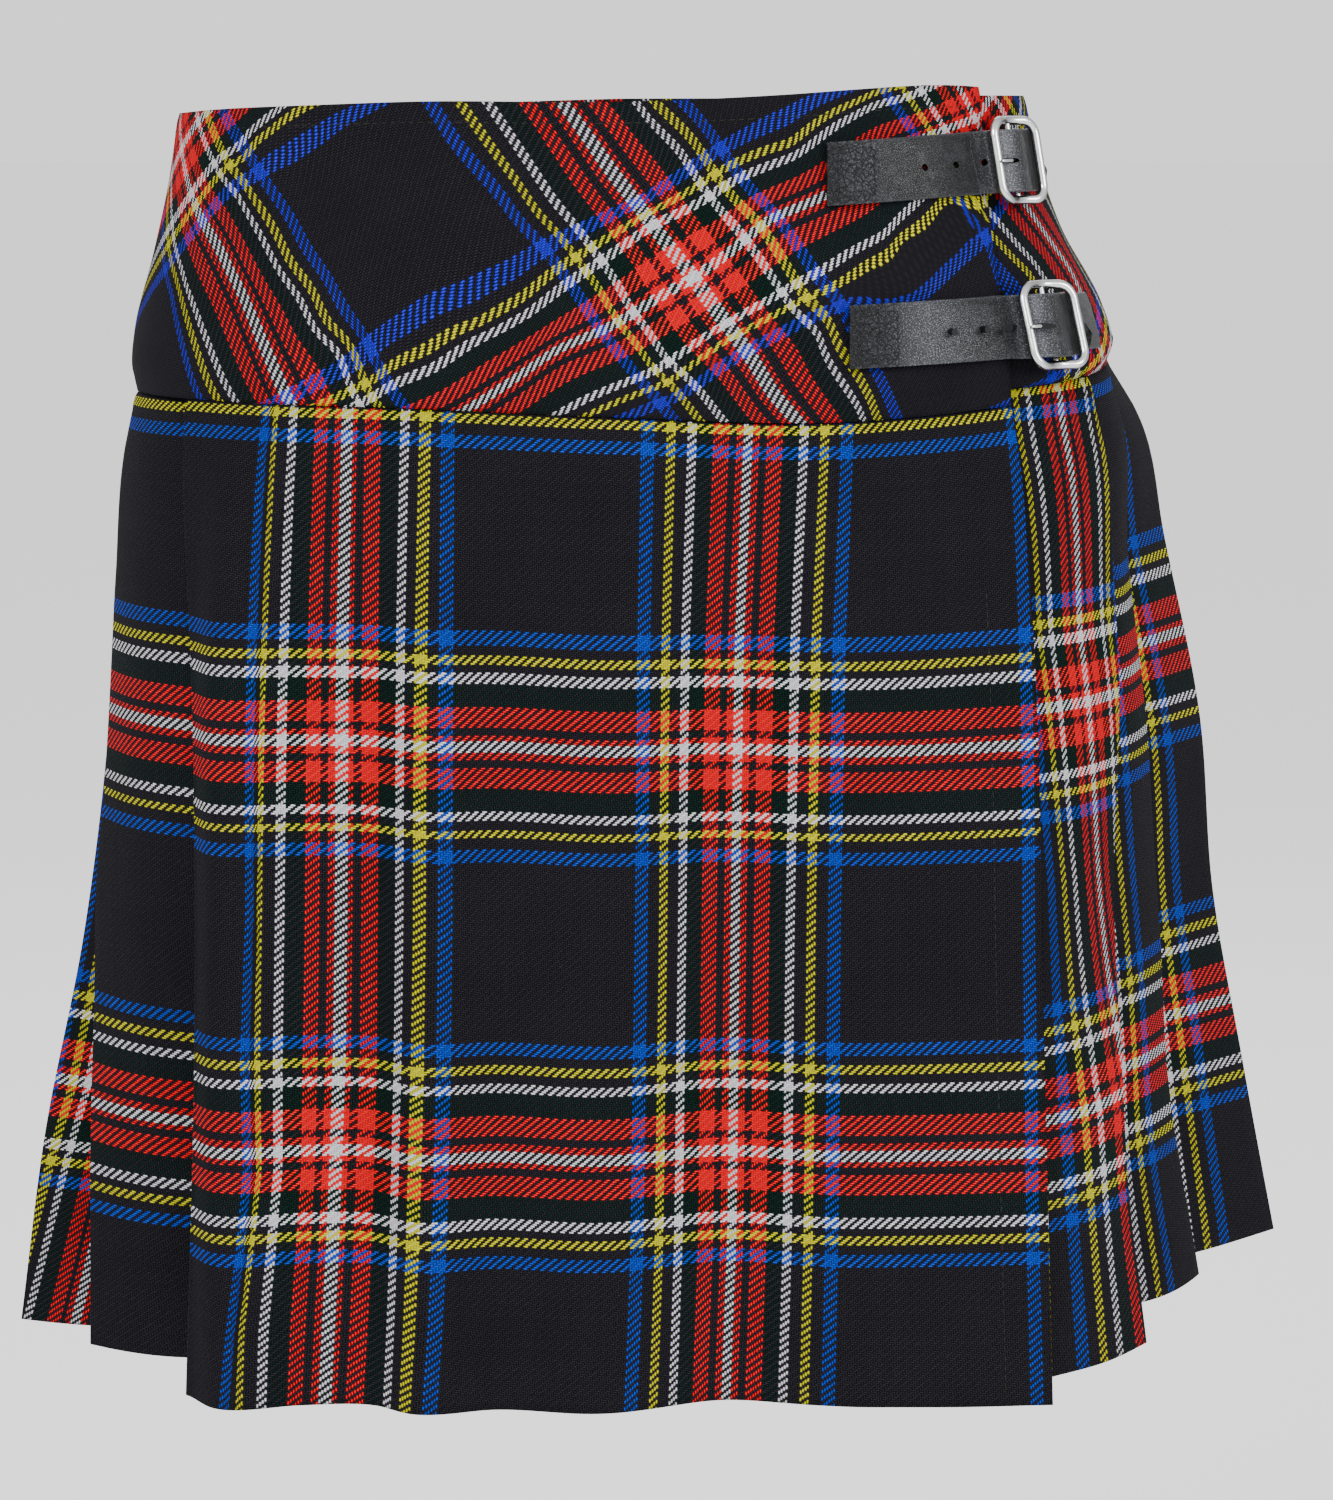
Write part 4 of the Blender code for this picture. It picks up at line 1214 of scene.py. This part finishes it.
# The strap's middle line at a height v across it: on the yoke, then under, over and under the three bars
def strapLine(fastening, v):
    level = float(levelOf(bodyEdges, fastening["strapDrop"] - v, leather["strapTurn"]))
    half = buckle["width"] / 2
    onYoke = leather["onCloth"] + leather["strapThick"] / 2
    end = nearestS(level, fromBuckle(fastening, -half, v, 0)) - leather["lift"]
    points = place(level, np.linspace(fastening["strapS"], end, 9), onYoke, bodyEdges)[:, :2].tolist()
    under = -buckle["wire"] - buckle["barClear"] - leather["strapThick"] / 2
    over = buckle["barBack"] + buckle["bar"] + leather["onCloth"] + leather["tabThick"] + onYoke
    middle = (under + over) / 2
    profile = ((-half - 1, under), (-half + 1.4, under), (-half / 2, middle), (0, over), (half / 2, middle),
               (half - 1.4, under), (half + 1, under), (half + leather["tip"], under - 1.5))
    points += [fromBuckle(fastening, u, v, w)[:2] for u, w in profile]
    line = curveThrough(points, leather["stations"])
    turn = math.radians(fastening["turn"])
    past = (line - (fastening["x"], fastening["y"])) @ (math.cos(turn), math.sin(turn))
    onTab = leather["tabOff"] + 2 * leather["tabThick"] + leather["onCloth"] + onYoke
    return keepOff(line, level, np.interp(past, [0, half / 2], [onYoke, onTab]))


# The tab's middle line at a height v: its short end, round the middle bar, then onto the hip
def tabLine(fastening, v):
    level = float(levelOf(underEdges, fastening["drop"] - v, leather["tabTurn"]))
    back = buckle["barBack"]
    loop = buckle["bar"] + leather["onCloth"] + leather["tabThick"] / 2
    angles = np.radians(np.linspace(60, 300, 9))
    profile = [(7.0, back - 1.0), (5.0, back), (2.8, back + 1.2)]
    profile += [(loop * math.cos(angle), back + loop * math.sin(angle)) for angle in angles]
    profile += [(3.0, back - 2.7), (7.0, back - 4.2)]
    points = [fromBuckle(fastening, u, v, w)[:2] for u, w in profile]
    start = nearestS(level, fromBuckle(fastening, buckle["width"] / 2, v, leather["tabLands"])) + 4
    s = np.linspace(start, start + leather["tabLength"], 5)
    onHip = leather["tabOff"] + leather["tabThick"] / 2
    points += place(level, s, onHip, underEdges)[:, :2].tolist()
    return keepOff(curveThrough(points, leather["tabStations"]), level, onHip)


# The section of a leather strip: v across it and w through it, with its cut edges rounded
def stripSection(width, thick):
    radius = leather["edgeRound"]
    flat = np.linspace(-1, 1, 9)[:-1] * (width / 2 - radius)
    corner = [(width / 2 - radius + radius * math.cos(a), thick / 2 - radius + radius * math.sin(a))
              for a in np.radians(np.linspace(90, 0, 4))]
    half = [(v, thick / 2) for v in flat] + corner + [(v, -w) for v, w in corner[::-1]]
    return half + [(-v, -w) for v, w in half]


# A leather strip swept along its own line, with a UV map in millimetres along and across it
def leatherStrip(name, lineAt, width, thick, drop, narrow, material):
    section = stripSection(width, thick)
    rings = []
    for v, w in section:
        line = lineAt(v)
        rings.append(np.column_stack([line + outward(line) * w, v * narrow - drop]))
    grid = np.arange(len(section) * len(line)).reshape(len(section), len(line))
    faces = facesBetween(grid, np.roll(grid, -1, axis=0))
    mesh = meshOf(name, rings, [], faces + [grid[::-1, 0].tolist(), grid[:, -1].tolist()])
    places = np.broadcast_arrays(lengthAlong(lineAt(0.0)), np.array(section)[:, :1])
    mapPlaces(mesh, "leatherMap", np.stack(places, -1).reshape(-1, 2))
    mesh.materials.append(material)
    work = bmesh.new()
    work.from_mesh(mesh)
    bmesh.ops.recalc_face_normals(work, faces=work.faces)
    work.to_mesh(mesh)
    work.free()
    mesh.shade_smooth()
    mesh.set_sharp_from_angle(angle=math.radians(50))
    return addPiece(name, mesh)


# Cuts a round or oval hole straight through a strip
def punch(piece, centre, turn, radius, stretch, tall):
    bpy.ops.mesh.primitive_cylinder_add(vertices=20, radius=radius * mm, depth=8 * mm)
    cutter = bpy.context.object
    cutter.rotation_euler = (math.pi / 2, 0, turn)
    cutter.scale = (stretch, tall, 1)
    cutter.location = [value * mm for value in centre]
    cut = piece.modifiers.new("Hole", "BOOLEAN")
    cut.object = cutter
    workIn(piece, cut)
    bpy.data.objects.remove(cutter)


# Black grained leather, duller and paler along its cut edges, with painted highlights in bands at given
# places along it, painted glints on its grain and painted shade in the wrinkles by its sewn end
def leatherMaterial(name, width, paintedShine):
    material, tree, shader = newMaterial(name)
    uv = output(tree, "ShaderNodeUVMap", {}, uv_map="leatherMap")
    along, across = split(uv)
    bent = vectorMaths("ADD", {0: uv, 1: noise(uv, 1.1, 3.0, take="Color")})
    scuff = noise(uv, 0.16, 5.0)
    edge = 1.0 - atMost((width / 2 - maths("ABSOLUTE", across)) / 0.9)
    worn = clamped(maths("MAXIMUM", edge * 0.55, (scuff - 0.52) * 1.4))
    # Painted glints: small pale specks on the grain, brighter within the painted highlights
    paintedGrainGlint = clamped((noise(uv, 1.9) - 0.53) * 6.0)
    # Painted highlights: the colour is lightened in soft bands at the given places along the strap
    paintedHighlight = 0.0
    for middle, spread, strength in paintedShine:
        off = (along - middle) / spread
        fall = off * off + 1.0
        paintedHighlight = paintedHighlight + strength / (fall * fall)
    sewnEnd = clamped((stitching["boxTo"] + 2 - along) * 0.4)
    # Wrinkles by the sewn end: a bump, and painted shade that darkens the colour in their troughs
    wrinkleAndPaintedShade = sewnEnd * (1.0 - atMost(cellEdges(bent, 0.42) * 7.0))
    crease = atMost(cellEdges(bent, 1.7) * 5.0)
    colour = mix(worn, (0.0030, 0.0032, 0.0038), (0.045, 0.048, 0.055))
    colour = mix(atMost(paintedHighlight * 0.15), colour, (0.16, 0.165, 0.19))
    colour = mix(atMost(paintedGrainGlint * (paintedHighlight * 0.50 + 0.10)), colour, (0.20, 0.205, 0.225))
    feed(shader, {
        "Base Color": mix(wrinkleAndPaintedShade * 0.8, colour, (0.003, 0.003, 0.004)),
        "Normal": bump(crease + scuff * 0.8 - wrinkleAndPaintedShade * 2.2, 0.9, 0.16),
        "Roughness": crease * -0.12 + 0.44,
        "Specular IOR Level": 0.22,
    })
    return material


# Bright plated wire with faint polishing marks, with a painted dark reflection where its surface turns away
# from the eye
def buckleMaterial():
    material, tree, shader = newMaterial("platedSteel")
    spot = output(tree, "ShaderNodeTexCoord", {}, "Object")
    marks = noise(spot, 900.0, 4.0, space="3D")
    # Painted reflection: the colour darkens towards the wire's sides as they turn away from the eye
    away = output(tree, "ShaderNodeLayerWeight", {"Blend": 0.5}, "Facing")
    colour = mix(noise(spot, 160.0, space="3D"), (0.62, 0.63, 0.65), (0.84, 0.84, 0.85))
    feed(shader, {
        "Base Color": mix(away * 1.15, colour, (0.05, 0.052, 0.058)),
        "Normal": bump(marks, 0.25, 0.05),
        "Roughness": marks * 0.22 + 0.12,
        "Metallic": 1.0,
    })
    return material


# A round wire through points, made a mesh, each point with its own share of the radius
def wireMesh(name, points, radius, cyclic, shares):
    data = bpy.data.curves.new(name, "CURVE")
    data.dimensions = "3D"
    data.bevel_depth = radius * mm
    data.bevel_resolution = 5
    data.use_fill_caps = True
    spline = data.splines.new("POLY")
    spline.points.add(len(points) - 1)
    for point, at, share in zip(spline.points, points, shares):
        point.co = (*[value * mm for value in at], 1)
        point.radius = share
    spline.use_cyclic_u = cyclic
    curve = addPiece(name, data)
    mesh = shownMesh(curve)
    bpy.data.objects.remove(curve)
    return mesh


def metalPiece(name, mesh, metal):
    mesh.materials.clear()
    mesh.materials.append(metal)
    mesh.shade_smooth()
    return addPiece(name, mesh)


def makeBuckle(name, fastening, metal):
    halfWidth, halfHeight = buckle["width"] / 2, buckle["height"] / 2
    corner = buckle["corner"]
    outline = []
    for signU, signV, start in ((1, 1, 0), (-1, 1, 90), (-1, -1, 180), (1, -1, 270)):
        for angle in np.radians(np.linspace(start, start + 90, 13)):
            outline.append((signU * (halfWidth - corner) + corner * math.cos(angle),
                            signV * (halfHeight - corner) + corner * math.sin(angle)))
        if signU == signV:
            rail = np.linspace(halfWidth - corner, corner - halfWidth, 13)[1:-1] * signV
            outline += [(u, signV * halfHeight) for u in rail]
    points = []
    for u, v in outline:
        bow = buckle["barBack"] * (0.5 + 0.5 * math.cos(math.pi * min(1.0, abs(u) / (halfWidth - 1))))
        points.append(fromBuckle(fastening, u, v, bow))
    ends = [fromBuckle(fastening, 0, v, buckle["barBack"]) for v in (-halfHeight, halfHeight)]
    work = bmesh.new()
    work.from_mesh(wireMesh("frame" + name, points, buckle["wire"], True, [1.0] * len(points)))
    work.from_mesh(wireMesh("bar" + name, ends, buckle["bar"], False, [1.0, 1.0]))
    mesh = bpy.data.meshes.new("buckle" + name)
    work.to_mesh(mesh)
    work.free()
    return metalPiece("buckle" + name, mesh, metal)


def makeProng(name, fastening, metal):
    rest = buckle["wire"] + leather["onCloth"] + buckle["prongWire"]
    low = buckle["barBack"] + buckle["bar"] + leather["onCloth"] + buckle["prongWire"]
    half = buckle["width"] / 2
    line = curveThrough([(0.6, low), (-3.2, low + 0.7), (-6.6, rest - 0.6), (-half, rest),
                         (-half - 1.2, rest - 0.1)], 28)
    points = [fromBuckle(fastening, u, 0, w) for u, w in line]
    taper = np.interp(np.linspace(0, 1, len(points)), [0, 0.6, 0.95, 1], [1.1, 1.0, 0.72, 0.45])
    name = "prong" + name
    return metalPiece(name, wireMesh(name, points, buckle["prongWire"], False, taper), metal)


# The crossed box that sews a strap's end down, as chains of points on its outer face
def boxRows(fastening, along, drop, narrow):
    first, last, half = stitching["boxFrom"], stitching["boxTo"], stitching["boxHalf"]
    corners = np.array([(first, -half), (last, -half), (last, half), (first, half), (first, -half)])
    box = [start + (end - start) * share
           for start, end in zip(corners, corners[1:]) for share in np.linspace(0, 1, 8)[:-1]]
    crossed = [[start + (end - start) * share for share in np.linspace(0.08, 0.92, 9)]
               for start, end in ((corners[0], corners[2]), (corners[3], corners[1]))]
    rows = []
    for spots in (box, *crossed):
        chain = []
        for far, v in spots:
            line = strapLine(fastening, v)
            face = line + outward(line) * leather["strapThick"] / 2
            chain.append([np.interp(far, along, values) for values in (*face.T, v * narrow - drop)])
        rows.append((chain, spots is box))
    return rows


# Holes along a strap's middle line, the last of them a slot that the prong goes through
def punchHoles(strap, fastening, middle, along, drop):
    for number in range(leather["holes"]):
        at = leather["firstHole"] + number * leather["holePitch"]
        index = int(np.searchsorted(along, at))
        ahead = middle[index + 1] - middle[index - 1]
        centre, stretch, tall = (*middle[index], -float(np.interp(at, along, drop))), 1, 1
        if number == leather["holes"] - 1:
            centre = fromBuckle(fastening, leather["slotAt"], 0.0, 0.0)
            stretch, tall = leather["slotLength"] / leather["holeRadius"], leather["slotTall"]
        punch(strap, centre, math.atan2(ahead[1], ahead[0]), leather["holeRadius"], stretch, tall)


metal = buckleMaterial()
for which, fastening in fastenings.items():
    label = which.capitalize()
    # Each strap has its own copy of the leather, and the copies differ only in their painted highlights
    hide = leatherMaterial("leather" + label, leather["strapWidth"], fastening["paintedShine"])
    middle = strapLine(fastening, 0.0)
    along = lengthAlong(middle)
    drop = np.interp(along, [0, along[-1] * 0.75], [fastening["strapDrop"], fastening["drop"]])
    left = np.clip((along[-1] - along) / leather["tip"], 0, 1)
    narrow = leather["tipEnd"] + (1 - leather["tipEnd"]) * np.sqrt(1 - (1 - left) ** 2)
    strap = leatherStrip("strap" + label, lambda v: strapLine(fastening, v),
                         leather["strapWidth"], leather["strapThick"], drop, narrow, hide)
    punchHoles(strap, fastening, middle, along, drop)
    finish(strap, "strap_" + which)
    sew("box" + label, boxRows(fastening, along, drop, narrow), "leather", leatherThread)
    tab = leatherStrip("tab" + label, lambda v: tabLine(fastening, v),
                       leather["tabWidth"], leather["tabThick"],
                       np.full(leather["tabStations"], fastening["drop"]), 1.0, hide)
    slot = leather["tabSlot"]
    punch(tab, fromBuckle(fastening, slot["at"], 0.0, buckle["barBack"] + slot["out"]),
          math.radians(fastening["turn"]), slot["radius"], slot["stretch"], 1)
    finish(tab, "tab_" + which)
    finish(makeBuckle(label, fastening, metal), "buckle_" + which)
    finish(makeProng(label, fastening, metal), "prong_" + which)
    print("fastening", which, "ready")


# Floor, light and camera
studio = {
    "floorDrop": 0.95,
    "floorRadius": 60.0,
    "floorColour": (0.96, 0.96, 0.96),
    "worldLight": 1.3,
    # name, place, size, power, and all aim at the middle of the skirt
    "lights": [
        ("keyLight", (-1.3, -2.2, 1.5), 1.0, 75.0),
        ("fillLight", (1.9, -1.6, 0.7), 1.0, 48.0),
        ("backLight", (0.3, 2.4, 1.6), 1.8, 26.0),
    ],
    "aim": (0.0, 0.0, -0.2),
}

camera = {
    "place": (0.017, -1.35, 0.0),
    "pitch": 9.5,
    "lens": 93.336,
    "sensor": 36.0,
}


def makeStudio():
    bpy.ops.mesh.primitive_circle_add(vertices=96, radius=studio["floorRadius"], fill_type="NGON",
                                      location=(0, 0, -studio["floorDrop"]))
    floor = bpy.context.object
    floor.name = "studioFloor"
    paint, tree, shader = newMaterial("palePaint")
    feed(shader, {"Base Color": studio["floorColour"], "Roughness": 0.9})
    floor.data.materials.append(paint)
    world = bpy.data.worlds.new("studioWorld")
    world.use_nodes = True
    feed(world.node_tree.nodes["Background"], {0: (1.0, 1.0, 1.0), 1: studio["worldLight"]})
    scene.world = world
    for name, spot, size, power in studio["lights"]:
        data = bpy.data.lights.new(name, "AREA")
        data.size = size
        data.energy = power
        light = addPiece(name, data)
        light.location = spot
        aim = np.array(studio["aim"]) - np.array(spot)
        light.rotation_euler = (math.atan2(math.hypot(aim[0], aim[1]), -aim[2]), 0,
                                math.atan2(aim[1], aim[0]) - math.pi / 2)


def makeCamera():
    data = bpy.data.cameras.new("photoCamera")
    data.lens = camera["lens"]
    data.sensor_width = camera["sensor"]
    eye = addPiece("photoCamera", data)
    eye.location = camera["place"]
    eye.rotation_euler = (math.radians(90 - camera["pitch"]), 0, 0)
    scene.camera = eye


makeStudio()
makeCamera()
print("studio ready")
